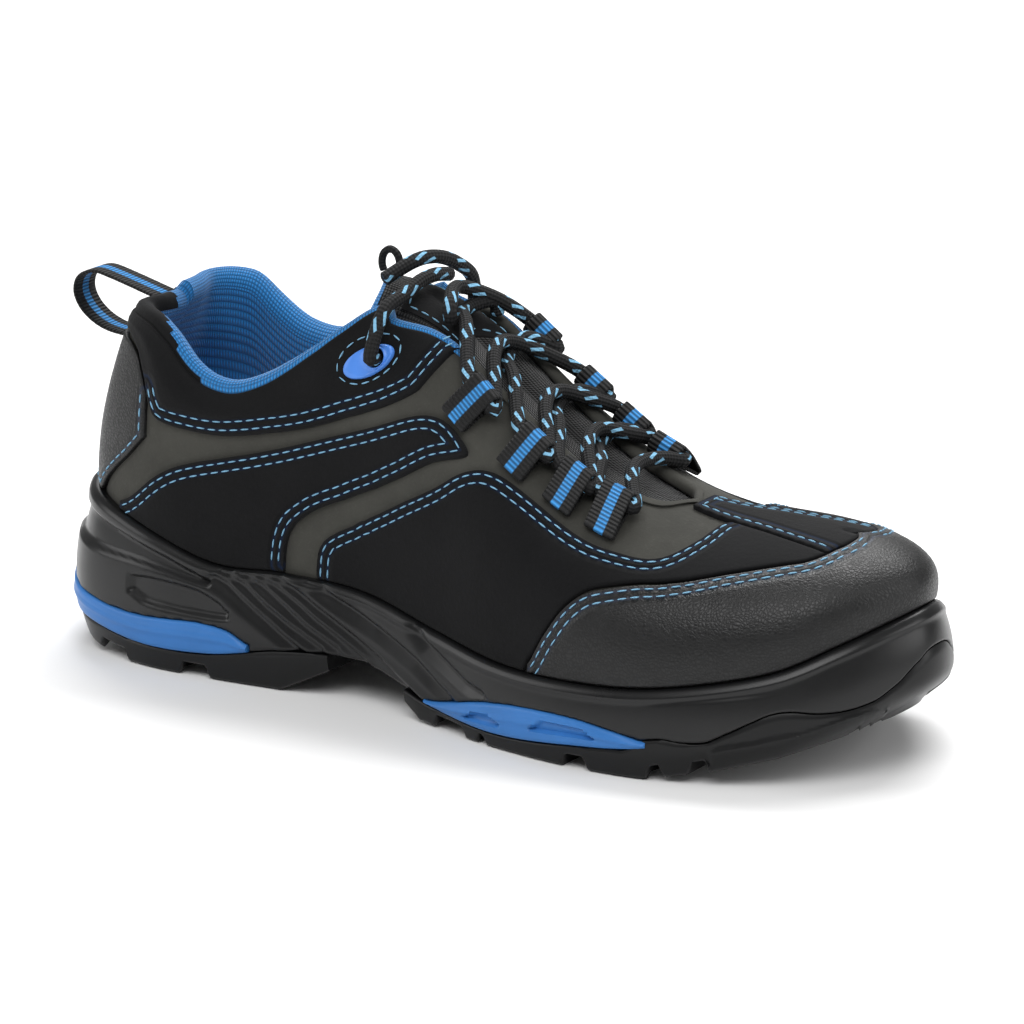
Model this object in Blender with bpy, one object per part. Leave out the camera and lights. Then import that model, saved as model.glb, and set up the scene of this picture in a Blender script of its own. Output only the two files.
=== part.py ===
"""A low safety sneaker, right foot, modelled as an assembly of separate pieces.

Metres, +Z up, toe along +X, outer (lateral) side along -Y.
The origin is on the heel's tread, under the middle of the heel, where the shoe stands.
"""

import math

import bmesh
import bpy
import numpy as np
from mathutils import Vector

MM = 0.001

# Driving sizes of the sole. The widths are those of its rim, over which it flares a little.
SOLE_LENGTH = 300 * MM
BALL_WIDTH = 103 * MM
HEEL_WIDTH = 73.4 * MM
HEEL_CUP_HEIGHT = 55 * MM
TOE_SPRING = 26 * MM
ARCH_HEIGHT = 14 * MM
HEEL_TO_ORIGIN = 38 * MM

# The upper.
INSTEP_HEIGHT = 110 * MM
COLLAR_HEIGHT = 109 * MM
THROAT_HALF_WIDTH = 18 * MM
THROAT_INNER_SHARE = 0.8
UPPER_WALL = 2.6 * MM
COLLAR_PADDING = 4.2 * MM
COLLAR_PAD_DEPTH = 26 * MM
OVERLAY = 1.2 * MM
CAP_OVERLAY = 1.5 * MM
OVERLAY_GAP = 0.75 * MM
GAP = 0.3 * MM

# The sole.
RIM_THICKNESS = 3.2 * MM
FLARE_HEIGHT = 0.36
TREAD_STEP = 3 * MM
INSERT_DEPTH = 5 * MM
INSERT_PROUD = 0.7 * MM
POD_DEPTH = 1.4 * MM
RIB_RADIUS = 1.0 * MM
INSOLE_THICKNESS = 4 * MM
TREAD_LEAST = 1.5 * MM
CUTTER_REACH = 6 * MM

# Tongue, webbing, lace and trim.
TONGUE_THICKNESS = 4.5 * MM
TONGUE_HALF_WIDTH = 24 * MM
TONGUE_GAP = 1.2 * MM
WEBBING_WIDTH = 12 * MM
WEBBING_THICKNESS = 1.1 * MM
LACE_DIAMETER = 4.4 * MM
EYELET_LENGTH = 18 * MM
EYELET_WIDTH = 10.5 * MM
EYELET_HOLE = 6.0 * MM
EYELET_THICKNESS = 1.6 * MM
PULL_LOOP_WIDTH = 11 * MM
TONGUE_CORD = 2.4 * MM

# Sections of the sole at its rim, from the heel's back to the toe's tip.
# along: share of SOLE_LENGTH from the rim's back. lateral, medial: share of half the rim's width.
# rim, interface, core, footbed: heights as shares of HEEL_CUP_HEIGHT.
# flare: how far the sole's side stands out below the rim; tuck: how far the tread's edge is
# drawn in again from there. Both in millimetres.
SOLE_COLUMNS = (
    "along", "lateral", "medial", "rim", "interface", "core", "footbed", "flare", "tuck",
)
SOLE_SECTIONS = (
    (0.000, 0.00, 0.00, 0.96, 0.225, 0.19, 0.62, 6.5, 5.0),
    (0.010, 0.41, 0.41, 0.95, 0.215, 0.18, 0.62, 6.3, 4.5),
    (0.045, 0.76, 0.77, 0.90, 0.190, 0.16, 0.62, 5.3, 3.0),
    (0.120, 0.97, 0.96, 0.79, 0.135, 0.12, 0.61, 3.0, 1.5),
    (0.205, 1.00, 0.97, 0.665, 0.150, 0.12, 0.60, 2.0, 1.2),
    (0.292, 0.96, 0.91, 0.675, 0.235, 0.17, 0.57, 1.8, 1.2),
    (0.384, 0.885, 0.79, 0.645, 0.250, 0.25, 0.52, 1.8, 1.2),
    (0.480, 0.875, 0.73, 0.535, 0.125, 0.125, 0.45, 2.0, 1.2),
    (0.570, 0.935, 0.80, 0.465, 0.085, 0.085, 0.385, 2.2, 1.2),
    (0.662, 1.000, 0.925, 0.460, 0.125, 0.110, 0.355, 2.2, 1.2),
    (0.757, 0.965, 0.985, 0.500, 0.190, 0.145, 0.365, 2.2, 1.5),
    (0.861, 0.770, 0.920, 0.620, 0.375, 0.220, 0.425, 2.8, 3.5),
    (0.916, 0.520, 0.620, 0.760, 0.470, 0.330, 0.510, 3.8, 6.0),
    (0.950, 0.210, 0.330, 0.860, 0.620, 0.420, 0.580, 4.3, 8.0),
    (0.963, -0.050, 0.050, 0.900, 0.740, 0.470, 0.620, 4.5, 9.0),
)

# Sections of the last above the sole's rim, at the same stations.
# ridge_along: where the section's top lies, share of SOLE_LENGTH; ridge_side: towards the inner
# side, share of half BALL_WIDTH; ridge_height: share of INSTEP_HEIGHT. Over the ankle the ridge
# closes the last like a sock, above the collar, where no leather is.
# side_round, top_round: exponents of the section's curve; swell: outward bulge in millimetres.
LAST_COLUMNS = ("ridge_along", "ridge_side", "ridge_height", "side_round", "top_round", "swell")
LAST_SECTIONS = (
    (0.165, 0.00, 1.37, 3.20, 0.92, 0.0),
    (0.165, 0.00, 1.37, 2.80, 0.92, 0.0),
    (0.168, 0.00, 1.37, 1.40, 0.92, 0.0),
    (0.180, 0.00, 1.365, 0.60, 0.90, 0.5),
    (0.200, 0.00, 1.345, 0.50, 0.85, -1.0),
    (0.250, 0.00, 1.305, 0.60, 0.82, -1.0),
    (0.325, 0.01, 1.195, 0.80, 0.78, 0.0),
    (0.404, 0.02, 1.120, 1.00, 0.72, 0.0),
    (0.500, 0.02, 0.915, 1.15, 0.68, 0.5),
    (0.595, 0.03, 0.732, 1.20, 0.72, 1.0),
    (0.705, 0.04, 0.632, 1.15, 0.76, 1.0),
    (0.790, 0.07, 0.610, 1.10, 0.70, 1.0),
    (0.838, 0.09, 0.603, 1.10, 0.62, 1.0),
    (0.860, 0.10, 0.600, 1.15, 0.60, 1.0),
    (0.866, 0.10, 0.598, 1.20, 0.60, 1.0),
)

# Height of the ground line under the tread: share of SOLE_LENGTH, of TOE_SPRING, of ARCH_HEIGHT.
GROUND_LINE = (
    (0.000, 0.26, 0.00),
    (0.035, 0.10, 0.00),
    (0.085, 0.00, 0.00),
    (0.285, 0.00, 0.00),
    (0.325, 0.00, 0.42),
    (0.365, 0.00, 0.86),
    (0.405, 0.00, 0.98),
    (0.440, 0.00, 0.42),
    (0.465, 0.00, 0.06),
    (0.500, 0.00, 0.00),
    (0.745, 0.00, 0.00),
    (0.800, 0.13, 0.00),
    (0.870, 0.35, 0.00),
    (0.940, 0.65, 0.00),
    (0.970, 0.83, 0.00),
    (1.000, 1.00, 0.00),
)

# Collar line: height of the upper's top edge, as shares of COLLAR_HEIGHT, against the share of
# SOLE_LENGTH, on the outer and the inner side.
COLLAR_LINE = (
    (0.030, 1.000, 1.000),
    (0.080, 1.005, 1.030),
    (0.120, 0.995, 1.020),
    (0.145, 0.955, 0.960),
    (0.170, 0.885, 0.915),
    (0.192, 0.850, 0.893),
    (0.220, 0.840, 0.885),
    (0.250, 0.865, 0.900),
    (0.280, 0.912, 0.935),
    (0.317, 0.985, 0.995),
    (0.345, 1.045, 1.050),
    (0.370, 1.095, 1.095),
    (0.390, 1.110, 1.110),
    (0.410, 1.115, 1.115),
    (0.430, 1.300, 1.300),
)
# Throat: half the gap between the eyestays, as a share of THROAT_HALF_WIDTH.
THROAT_LINE = (
    (0.385, 1.120),
    (0.405, 1.130),
    (0.440, 1.070),
    (0.475, 0.990),
    (0.550, 0.920),
    (0.620, 0.860),
    (0.665, 0.740),
    (0.688, 0.560),
    (0.705, 0.000),
)

LAST_STATION = len(SOLE_SECTIONS) - 1
LOOP = 2 * LAST_STATION
# Stations that get a column of points: every half station, and more where the edge turns.
COLUMN_STATIONS = sorted({k / 2 for k in range(LOOP + 1)} | {3.25, 3.75, 6.25, 6.75, 9.75})


def catmull(before, start, end, after, share):
    """One value of a Catmull-Rom curve between start and end."""
    slope_a = (end - before) / 2
    slope_b = (after - start) / 2
    rise = end - start
    a = slope_a + slope_b - 2 * rise
    b = 3 * rise - 2 * slope_a - slope_b
    return ((a * share + b) * share + slope_a) * share + start


def sole_loop():
    """The sections as a closed loop: outer side from heel to toe, then the inner side back."""
    rows = []
    for k in range(LOOP):
        lateral = k <= LAST_STATION
        station = k if lateral else LOOP - k
        sole = dict(zip(SOLE_COLUMNS, SOLE_SECTIONS[station]))
        last = dict(zip(LAST_COLUMNS, LAST_SECTIONS[station]))
        ball_share = min(max((sole["along"] - 0.3) / 0.3, 0.0), 1.0)
        ball_share = ball_share * ball_share * (3 - 2 * ball_share)
        half = (HEEL_WIDTH + (BALL_WIDTH - HEEL_WIDTH) * ball_share) / 2
        side = -sole["lateral"] if lateral else sole["medial"]
        rows.append(
            (
                sole["along"] * SOLE_LENGTH - HEEL_TO_ORIGIN,
                side * half,
                sole["rim"] * HEEL_CUP_HEIGHT,
                sole["interface"] * HEEL_CUP_HEIGHT,
                sole["core"] * HEEL_CUP_HEIGHT,
                sole["footbed"] * HEEL_CUP_HEIGHT,
                sole["flare"] * MM,
                sole["tuck"] * MM,
                last["ridge_along"] * SOLE_LENGTH - HEEL_TO_ORIGIN,
                last["ridge_side"] * BALL_WIDTH / 2,
                last["ridge_height"] * INSTEP_HEIGHT,
                last["side_round"],
                last["top_round"],
                last["swell"] * MM,
            )
        )
    return np.array(rows)


LOOP_ROWS = sole_loop()
FIELDS = (
    "x", "y", "rim", "interface", "core", "footbed", "flare", "tuck",
    "ridge_x", "ridge_y", "ridge_z", "side_round", "top_round", "swell",
)


def section(position):
    """All the values of the section at a loop position, by name."""
    first = math.floor(position)
    near = [LOOP_ROWS[(first + k) % LOOP] for k in (-1, 0, 1, 2)]
    values = catmull(*near, position - first)
    return dict(zip(FIELDS, values))


def side_of(position):
    """-1 on the outer side of the loop, 1 on the inner side."""
    return -1 if position % LOOP <= LAST_STATION else 1


def station_of(position):
    """The station, 0 at the heel to LAST_STATION at the toe, of a loop position."""
    position = position % LOOP
    return position if position <= LAST_STATION else LOOP - position


def loop_position(station, side):
    """The loop position of a station on the outer (-1) or inner (1) side."""
    return station if side < 0 else LOOP - station


def station_at(x, side):
    """The station whose outline lies at that x, found by halving."""
    low, high = 0.0, float(LAST_STATION)
    for _ in range(40):
        middle = (low + high) / 2
        if section(loop_position(middle, side))["x"] < x:
            low = middle
        else:
            high = middle
    return (low + high) / 2


def outward(position):
    """Outward direction of the outline in plan."""
    step = 0.02
    a, b = section(position - step), section(position + step)
    along = Vector((b["x"] - a["x"], b["y"] - a["y"]))
    along.normalize()
    return Vector((along.y, -along.x))


def table_value(table, key, column=1):
    """Straight-line value of a table's column at key."""
    keys = [row[0] for row in table]
    return float(np.interp(key, keys, [row[column] for row in table]))


def smooth_value(table, key, column=1):
    """Smooth value of a table's column at key, with the first and last rows held."""
    keys = [row[0] for row in table]
    if key <= keys[0]:
        return table[0][column]
    if key >= keys[-1]:
        return table[-1][column]
    i = max(k for k in range(len(keys) - 1) if keys[k] <= key)
    values = [table[min(max(i + k, 0), len(table) - 1)][column] for k in (-1, 0, 1, 2)]
    return catmull(*values, (key - keys[i]) / (keys[i + 1] - keys[i]))


def ground(x):
    """Height of the tread's lowest face at x."""
    share = (x + HEEL_TO_ORIGIN) / SOLE_LENGTH
    spring = table_value(GROUND_LINE, share, 1)
    arch = table_value(GROUND_LINE, share, 2)
    return spring * TOE_SPRING + arch * ARCH_HEIGHT


def sole_edge(position, inset, z):
    """A point inset from the sole's rim in plan, at height z."""
    row = section(position)
    out = outward(position)
    return Vector((row["x"] - out.x * inset, row["y"] - out.y * inset, z))


def sole_wall(position, z, out=0.0):
    """A point of the sole's side face at height z, moved outwards by out."""
    row = section(position)
    low = ground(row["x"])
    share = min(max((z - low) / (row["rim"] - low), 0.0), 1.0)
    above = max(share - FLARE_HEIGHT, 0.0) / (1 - FLARE_HEIGHT)
    below = max(FLARE_HEIGHT - share, 0.0) / FLARE_HEIGHT
    stands = row["flare"] * (1 - above * above) - row["tuck"] * below * below
    return sole_edge(position, -stands - out, z)


def last_point(position, girth, depth=0.0):
    """A point of the last's skin: girth 0 at the sole's rim, 1 on the ridge; depth is inwards.

    Below the rim girth runs to -1 at the footbed, straight down inside the sole's cup.
    """
    row = section(position)
    out = outward(position)
    foot = RIM_THICKNESS + GAP + depth
    base = Vector((row["x"] - out.x * foot, row["y"] - out.y * foot))
    if girth <= 0:
        low = row["footbed"] + GAP
        return Vector((base.x, base.y, row["rim"] + girth * (row["rim"] - low)))
    ridge = Vector((row["ridge_x"], row["ridge_y"]))
    angle = min(girth, 1.0) ** (1 / row["top_round"]) * math.pi / 2
    inwards = 1 - max(math.cos(angle), 0.0) ** row["side_round"]
    rise = math.sin(angle) ** row["top_round"]
    swell = row["swell"] * math.sin(math.pi * rise)
    plan = base.lerp(ridge, inwards) + out * swell * (1 - inwards)
    top = row["ridge_z"] - depth
    return Vector((plan.x, plan.y, row["rim"] + (top - row["rim"]) * rise))


def in_opening(point, side):
    """Whether a point of the skin lies above the collar line or between the eyestays."""
    share = (point.x + HEEL_TO_ORIGIN) / SOLE_LENGTH
    collar = smooth_value(COLLAR_LINE, share, 1 if side < 0 else 2) * COLLAR_HEIGHT
    if share < COLLAR_LINE[-1][0] and point.z > collar:
        return True
    if not THROAT_LINE[0][0] < share < THROAT_LINE[-1][0]:
        return False
    half = smooth_value(THROAT_LINE, share) * THROAT_HALF_WIDTH
    if side > 0:
        half *= THROAT_INNER_SHARE
    return abs(point.y - throat_centre(share)) < half


def throat_centre(share):
    """Where the middle of the throat lies across the shoe."""
    table = [(row[0], row[1] * BALL_WIDTH / 2) for row in LAST_SECTIONS]
    return table_value(table, share)


def free_edge(position):
    """The girth of the upper's free edge: at its collar or throat, or 1 where it is closed."""
    side = side_of(position)
    if side > 0:
        position = LOOP - station_of(position)
    steps = 60
    for k in range(1, steps + 1):
        if in_opening(last_point(position, k / steps - 1e-6), side):
            low, high = (k - 1) / steps, k / steps
            for _ in range(20):
                middle = (low + high) / 2
                if in_opening(last_point(position, middle), side):
                    high = middle
                else:
                    low = middle
            return low
    return 1.0


def girth_at_height(position, height):
    """The girth at which the skin reaches a height."""
    row = section(position)
    share = (height - row["rim"]) / (row["ridge_z"] - row["rim"])
    share = min(max(share, 0.0), 1.0)
    angle = math.asin(share ** (1 / row["top_round"]))
    return (angle * 2 / math.pi) ** row["top_round"]


def girth_at_half(position, half):
    """The girth at which the skin is that far to the side of the ridge."""
    low, high = 0.0, 1.0
    ridge = section(position)["ridge_y"]
    for _ in range(30):
        middle = (low + high) / 2
        if abs(last_point(position, middle).y - ridge) > half:
            low = middle
        else:
            high = middle
    return low


def new_collection(name):
    collection = bpy.data.collections.new(name)
    bpy.context.scene.collection.children.link(collection)
    return collection


def material(name, colour, roughness, metallic=0.0):
    made = bpy.data.materials.new(name)
    made.use_nodes = True
    shader = made.node_tree.nodes["Principled BSDF"]
    shader.inputs["Base Color"].default_value = (*colour, 1)
    shader.inputs["Roughness"].default_value = roughness
    shader.inputs["Metallic"].default_value = metallic
    return made


def mesh_object(name, points, faces, surface, collection, smooth=True):
    """An object from points and faces, its doubles merged and its faces turned outwards."""
    mesh = bpy.data.meshes.new(name)
    mesh.from_pydata([tuple(p) for p in points], [], faces)
    shape = bmesh.new()
    shape.from_mesh(mesh)
    bmesh.ops.remove_doubles(shape, verts=shape.verts, dist=1e-6)
    bmesh.ops.dissolve_degenerate(shape, dist=1e-7, edges=shape.edges)
    bmesh.ops.recalc_face_normals(shape, faces=shape.faces)
    shape.to_mesh(mesh)
    shape.free()
    if smooth:
        mesh.shade_smooth()
        mesh.set_sharp_from_angle(angle=math.radians(35))
    made = bpy.data.objects.new(name, mesh)
    if surface:
        mesh.materials.append(surface)
    collection.objects.link(made)
    return made


def bridged(rings, closed=True, cyclic_rings=False):
    """Quads between rings of equal length; the last ring joins the first if cyclic_rings."""
    count = len(rings[0])
    points = [p for ring in rings for p in ring]
    faces = []
    pairs = len(rings) if cyclic_rings else len(rings) - 1
    for r in range(pairs):
        a, b = r * count, ((r + 1) % len(rings)) * count
        for i in range(count if closed else count - 1):
            j = (i + 1) % count
            faces.append((a + i, a + j, b + j, b + i))
    return points, faces


def ladder(start, count, flip=False):
    """Faces across a loop ring, from each outer-side point to its partner on the inner side."""
    faces = []
    half = count // 2
    for i in range(half):
        a, b = start + i, start + i + 1
        c, d = start + (count - i - 1) % count, start + (count - i) % count
        corners = [a, b, c, d]
        corners = [v for k, v in enumerate(corners) if v not in corners[:k]]
        if len(corners) > 2:
            faces.append(tuple(reversed(corners)) if flip else tuple(corners))
    return faces


def loop_positions():
    """Loop positions of the columns: outer side from heel to toe, then inner side back."""
    inner = [LOOP - station for station in reversed(COLUMN_STATIONS[1:-1])]
    return list(COLUMN_STATIONS) + inner


def ring_solid(name, profile, surface, collection):
    """A solid whose rings run round the outline; profile(position) gives a column's points."""
    columns = [profile(position) for position in loop_positions()]
    rings = [list(ring) for ring in zip(*columns)]
    points, faces = bridged(rings)
    count = len(columns)
    faces += ladder(0, count, flip=True)
    faces += ladder((len(rings) - 1) * count, count)
    return mesh_object(name, points, faces, surface, collection)


def shell_patch(name, outer, inner, surface, collection):
    """A closed shell between two grids of points of the same size, rows of equal length."""
    rows, count = len(outer), len(outer[0])
    points = [p for grid in (outer, inner) for row in grid for p in row]
    base = rows * count
    faces = []
    for r in range(rows - 1):
        for i in range(count - 1):
            a = r * count + i
            quad = (a, a + 1, a + count + 1, a + count)
            faces.append(quad)
            faces.append(tuple(base + v for v in reversed(quad)))
    edge = [i for i in range(count)]
    edge += [r * count + count - 1 for r in range(1, rows)]
    edge += [(rows - 1) * count + i for i in range(count - 2, -1, -1)]
    edge += [r * count for r in range(rows - 2, 0, -1)]
    for k, a in enumerate(edge):
        b = edge[(k + 1) % len(edge)]
        faces.append((b, a, base + a, base + b))
    return mesh_object(name, points, faces, surface, collection)


def cut(target, cutters, name="Cut", operation="DIFFERENCE"):
    """Boolean modifiers on target, one for each cutter."""
    for k, cutter in enumerate(cutters):
        cutter.hide_render = True
        cutter.display_type = "WIRE"
        modifier = target.modifiers.new(f"{name} {k + 1}", "BOOLEAN")
        modifier.operation = operation
        modifier.object = cutter
        modifier.solver = "EXACT"


def side_band(name, rows, side, depth, out, surface, collection, grow=0.0):
    """A slab let into the sole's side. rows: share of SOLE_LENGTH, low and high height."""
    table = [(along * SOLE_LENGTH - HEEL_TO_ORIGIN, low, high) for along, low, high in rows]
    outer, inner = [], []
    for k in range(len(rows)):
        x, low, high = table[k]
        low, high = low - grow, high + grow
        push = grow if k == len(rows) - 1 else -grow if k == 0 else 0.0
        position = loop_position(station_at(x + push, side), side)
        heights = (low, (low + high) / 2, high)
        outer.append([sole_wall(position, z, out) for z in heights])
        inner.append([sole_wall(position, z, -depth - grow) for z in heights])
    return shell_patch(name, outer, inner, surface, collection)


def wrap_band(name, rows, depth, out, surface, collection, grow=0.0):
    """A slab let in round the heel, from the outer side to the inner. rows run from the tip
    of one side to the heel's back, as share of SOLE_LENGTH, low and high height."""
    outer, inner = [], []
    turns = [(row, -1) for row in rows] + [(row, 1) for row in reversed(rows[:-1])]
    for k, ((along, low, high), side) in enumerate(turns):
        x = along * SOLE_LENGTH - HEEL_TO_ORIGIN
        ends = k in (0, len(turns) - 1)
        station = station_at(x + (grow if ends else 0.0), side) if along > 0 else 0.0
        position = loop_position(station, side) % LOOP
        heights = (low - grow, (low + high) / 2, high + grow)
        outer.append([sole_wall(position, z, out) for z in heights])
        inner.append([sole_wall(position, z, -depth - grow) for z in heights])
    return shell_patch(name, outer, inner, surface, collection)


def interface_height(position):
    return section(position)["interface"]


def midsole_profile(position):
    """A column of the midsole, from under its core out, up its side and into the cup."""
    row = section(position)
    low = row["interface"] + 1.3 * GAP
    core = min(row["core"] + 1.3 * GAP, low)
    rim = row["rim"]
    side = [sole_wall(position, low + (rim - low) * share) for share in (0.0, 0.3, 0.6, 0.85, 1.0)]
    return [
        sole_edge(position, TREAD_STEP + 1 * MM, core),
        sole_edge(position, TREAD_STEP, low),
        *side,
        sole_edge(position, RIM_THICKNESS, rim),
        sole_edge(position, RIM_THICKNESS, row["footbed"]),
    ]


def outsole_profile(position):
    """A column of the tread layer, from its top inside, over its edge, to its bottom."""
    row = section(position)
    high = row["interface"]
    core = min(row["core"], high)
    edge_inset = row["tuck"] - row["flare"]
    low_point = sole_edge(position, edge_inset, 0)
    low = min(ground(low_point.x), high - TREAD_LEAST)
    middle = low + (high - low) * 0.5
    bottom = sole_edge(position, edge_inset + 4 * MM, 0)
    bottom.z = min(ground(bottom.x), high - TREAD_LEAST)
    return [
        sole_edge(position, TREAD_STEP + 1 * MM, core),
        sole_edge(position, TREAD_STEP, high),
        sole_wall(position, high),
        sole_wall(position, middle),
        Vector((low_point.x, low_point.y, low)),
        bottom,
    ]


# Blue inserts: share of SOLE_LENGTH, then top height as a share of HEEL_CUP_HEIGHT.
HEEL_INSERT_TOP = (
    (0.252, 0.24),
    (0.225, 0.305),
    (0.19, 0.325),
    (0.155, 0.315),
    (0.117, 0.305),
    (0.08, 0.315),
    (0.045, 0.345),
    (0.02, 0.38),
    (0.006, 0.42),
    (0.000, 0.44),
)
FOREFOOT_INSERT_TOP = (
    (0.475, 0.150),
    (0.505, 0.175),
    (0.545, 0.230),
    (0.585, 0.268),
    (0.63, 0.285),
    (0.675, 0.280),
    (0.715, 0.250),
    (0.752, 0.215),
)
INSERT_TIP = 1.2 * MM


def insert_rows(table, side):
    """Rows of an insert: its low edge stands on the tread layer, GAP above it."""
    rows = []
    for along, top in table:
        x = along * SOLE_LENGTH - HEEL_TO_ORIGIN
        position = loop_position(station_at(x, side) if along > 0 else 0.0, side) % LOOP
        low = interface_height(position) + GAP
        rows.append((along, low, max(top * HEEL_CUP_HEIGHT, low + INSERT_TIP)))
    return rows


# Recessed pods of the heel's side: share of SOLE_LENGTH, low and high as shares of HEEL_CUP_HEIGHT.
UPPER_POD = (
    (0.205, 0.545, 0.575),
    (0.185, 0.555, 0.605),
    (0.15, 0.585, 0.665),
    (0.11, 0.61, 0.72),
    (0.07, 0.62, 0.77),
    (0.035, 0.635, 0.815),
    (0.012, 0.66, 0.85),
    (0.000, 0.675, 0.86),
)
LOWER_POD = (
    (0.105, 0.435, 0.525),
    (0.125, 0.39, 0.535),
    (0.155, 0.375, 0.53),
    (0.19, 0.37, 0.51),
    (0.215, 0.37, 0.46),
    (0.228, 0.375, 0.41),
)
# Sculpted ribs of the waist: top and bottom end of each furrow, as share of SOLE_LENGTH and
# of HEEL_CUP_HEIGHT.
RIBS = (
    (0.222, 0.62, 0.318, 0.27),
    (0.245, 0.62, 0.335, 0.33),
    (0.268, 0.63, 0.355, 0.34),
    (0.292, 0.64, 0.385, 0.34),
    (0.318, 0.65, 0.425, 0.31),
    (0.355, 0.62, 0.478, 0.22),
    (0.44, 0.50, 0.535, 0.28),
)

# Grooves between the tread's lugs: share of SOLE_LENGTH, angle in degrees, width in mm.
HEEL_GROOVES = ((0.072, -14, 5.0), (0.185, -8, 6.5))
FOREFOOT_GROOVES = (
    (0.505, -12, 6.0),
    (0.585, -12, 6.0),
    (0.665, -9, 6.0),
    (0.765, -5, 6.0),
    (0.825, 0, 5.0),
    (0.885, 4, 5.0),
)
GROOVE_DEPTH = 3.2 * MM


def groove_cutter(name, along, angle, width, collection, depth=GROOVE_DEPTH):
    """A wedge that runs across the tread in a shallow V, both halves of one mesh."""
    x = along * SOLE_LENGTH - HEEL_TO_ORIGIN
    low = ground(x)
    reach = BALL_WIDTH * 0.7
    lean = math.tan(math.radians(angle)) * reach
    rows = []
    for side, shift in ((-reach, lean), (0.0, 0.0), (reach, lean)):
        half, tip = width * MM / 2 + 1 * MM, width * MM / 2
        slope = (ground(x + 2 * half) - ground(x - 2 * half)) / (4 * half)
        rows.append(
            [
                Vector((x + shift - half, side, low - slope * half - 3 * MM)),
                Vector((x + shift + half, side, low + slope * half - 3 * MM)),
                Vector((x + shift + tip * 0.8, side, low + slope * tip + depth)),
                Vector((x + shift - tip * 0.8, side, low - slope * tip + depth)),
            ]
        )
    points, faces = bridged(rows)
    faces += [(3, 2, 1, 0), (8, 9, 10, 11)]
    return mesh_object(name, points, faces, None, collection, smooth=False)


def box_object(name, low, high, collection):
    """A box between two corners."""
    shape = bmesh.new()
    bmesh.ops.create_cube(shape, size=1.0)
    size = [b - a for a, b in zip(low, high)]
    middle = [(a + b) / 2 for a, b in zip(low, high)]
    bmesh.ops.scale(shape, vec=size, verts=shape.verts)
    bmesh.ops.translate(shape, vec=middle, verts=shape.verts)
    mesh = bpy.data.meshes.new(name)
    shape.to_mesh(mesh)
    shape.free()
    made = bpy.data.objects.new(name, mesh)
    collection.objects.link(made)
    return made


def tube_mesh(name, points, radius, sides, surface, collection):
    """A tube along points, its ends filled, as one welded mesh."""
    curve = bpy.data.curves.new(name, "CURVE")
    curve.dimensions = "3D"
    curve.bevel_depth = radius
    curve.bevel_resolution = max(sides // 2 - 2, 0)
    curve.use_fill_caps = True
    spline = curve.splines.new("POLY")
    spline.points.add(len(points) - 1)
    for target, point in zip(spline.points, points):
        target.co = (*point, 1)
    drawn = bpy.data.objects.new(name + " curve", curve)
    collection.objects.link(drawn)
    bpy.context.view_layer.update()
    graph = bpy.context.evaluated_depsgraph_get()
    mesh = bpy.data.meshes.new_from_object(drawn.evaluated_get(graph))
    bpy.data.objects.remove(drawn)
    bpy.data.curves.remove(curve)
    shape = bmesh.new()
    shape.from_mesh(mesh)
    bmesh.ops.remove_doubles(shape, verts=shape.verts, dist=1e-6)
    bmesh.ops.recalc_face_normals(shape, faces=shape.faces)
    shape.to_mesh(mesh)
    shape.free()
    mesh.name = name
    mesh.shade_smooth()
    made = bpy.data.objects.new(name, mesh)
    if surface:
        mesh.materials.append(surface)
    collection.objects.link(made)
    return made


def smooth_path(points, steps):
    """A smooth curve through points, with steps spans between each two of them."""
    made = []
    for i in range(len(points) - 1):
        near = [Vector(points[min(max(i + k, 0), len(points) - 1)]) for k in (-1, 0, 1, 2)]
        for k in range(steps):
            made.append(catmull(*near, k / steps))
    made.append(Vector(points[-1]))
    return made


def ribbon(name, path, across, thickness, surface, collection, closed=False):
    """A flat strap: its middle follows path, and across is its half-width vector at each point."""
    count = len(path)
    rings = []
    for i in range(count):
        before = path[(i - 1) % count] if closed else path[max(i - 1, 0)]
        after = path[(i + 1) % count] if closed else path[min(i + 1, count - 1)]
        along = (after - before).normalized()
        half = across[i]
        face = along.cross(half).normalized() * (thickness / 2)
        rings.append(
            [path[i] - half - face, path[i] + half - face, path[i] + half + face, path[i] - half + face]
        )
    points, faces = bridged(rings, cyclic_rings=closed)
    if not closed:
        last = (count - 1) * 4
        faces += [(3, 2, 1, 0), (last, last + 1, last + 2, last + 3)]
    return mesh_object(name, points, faces, surface, collection)


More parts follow.
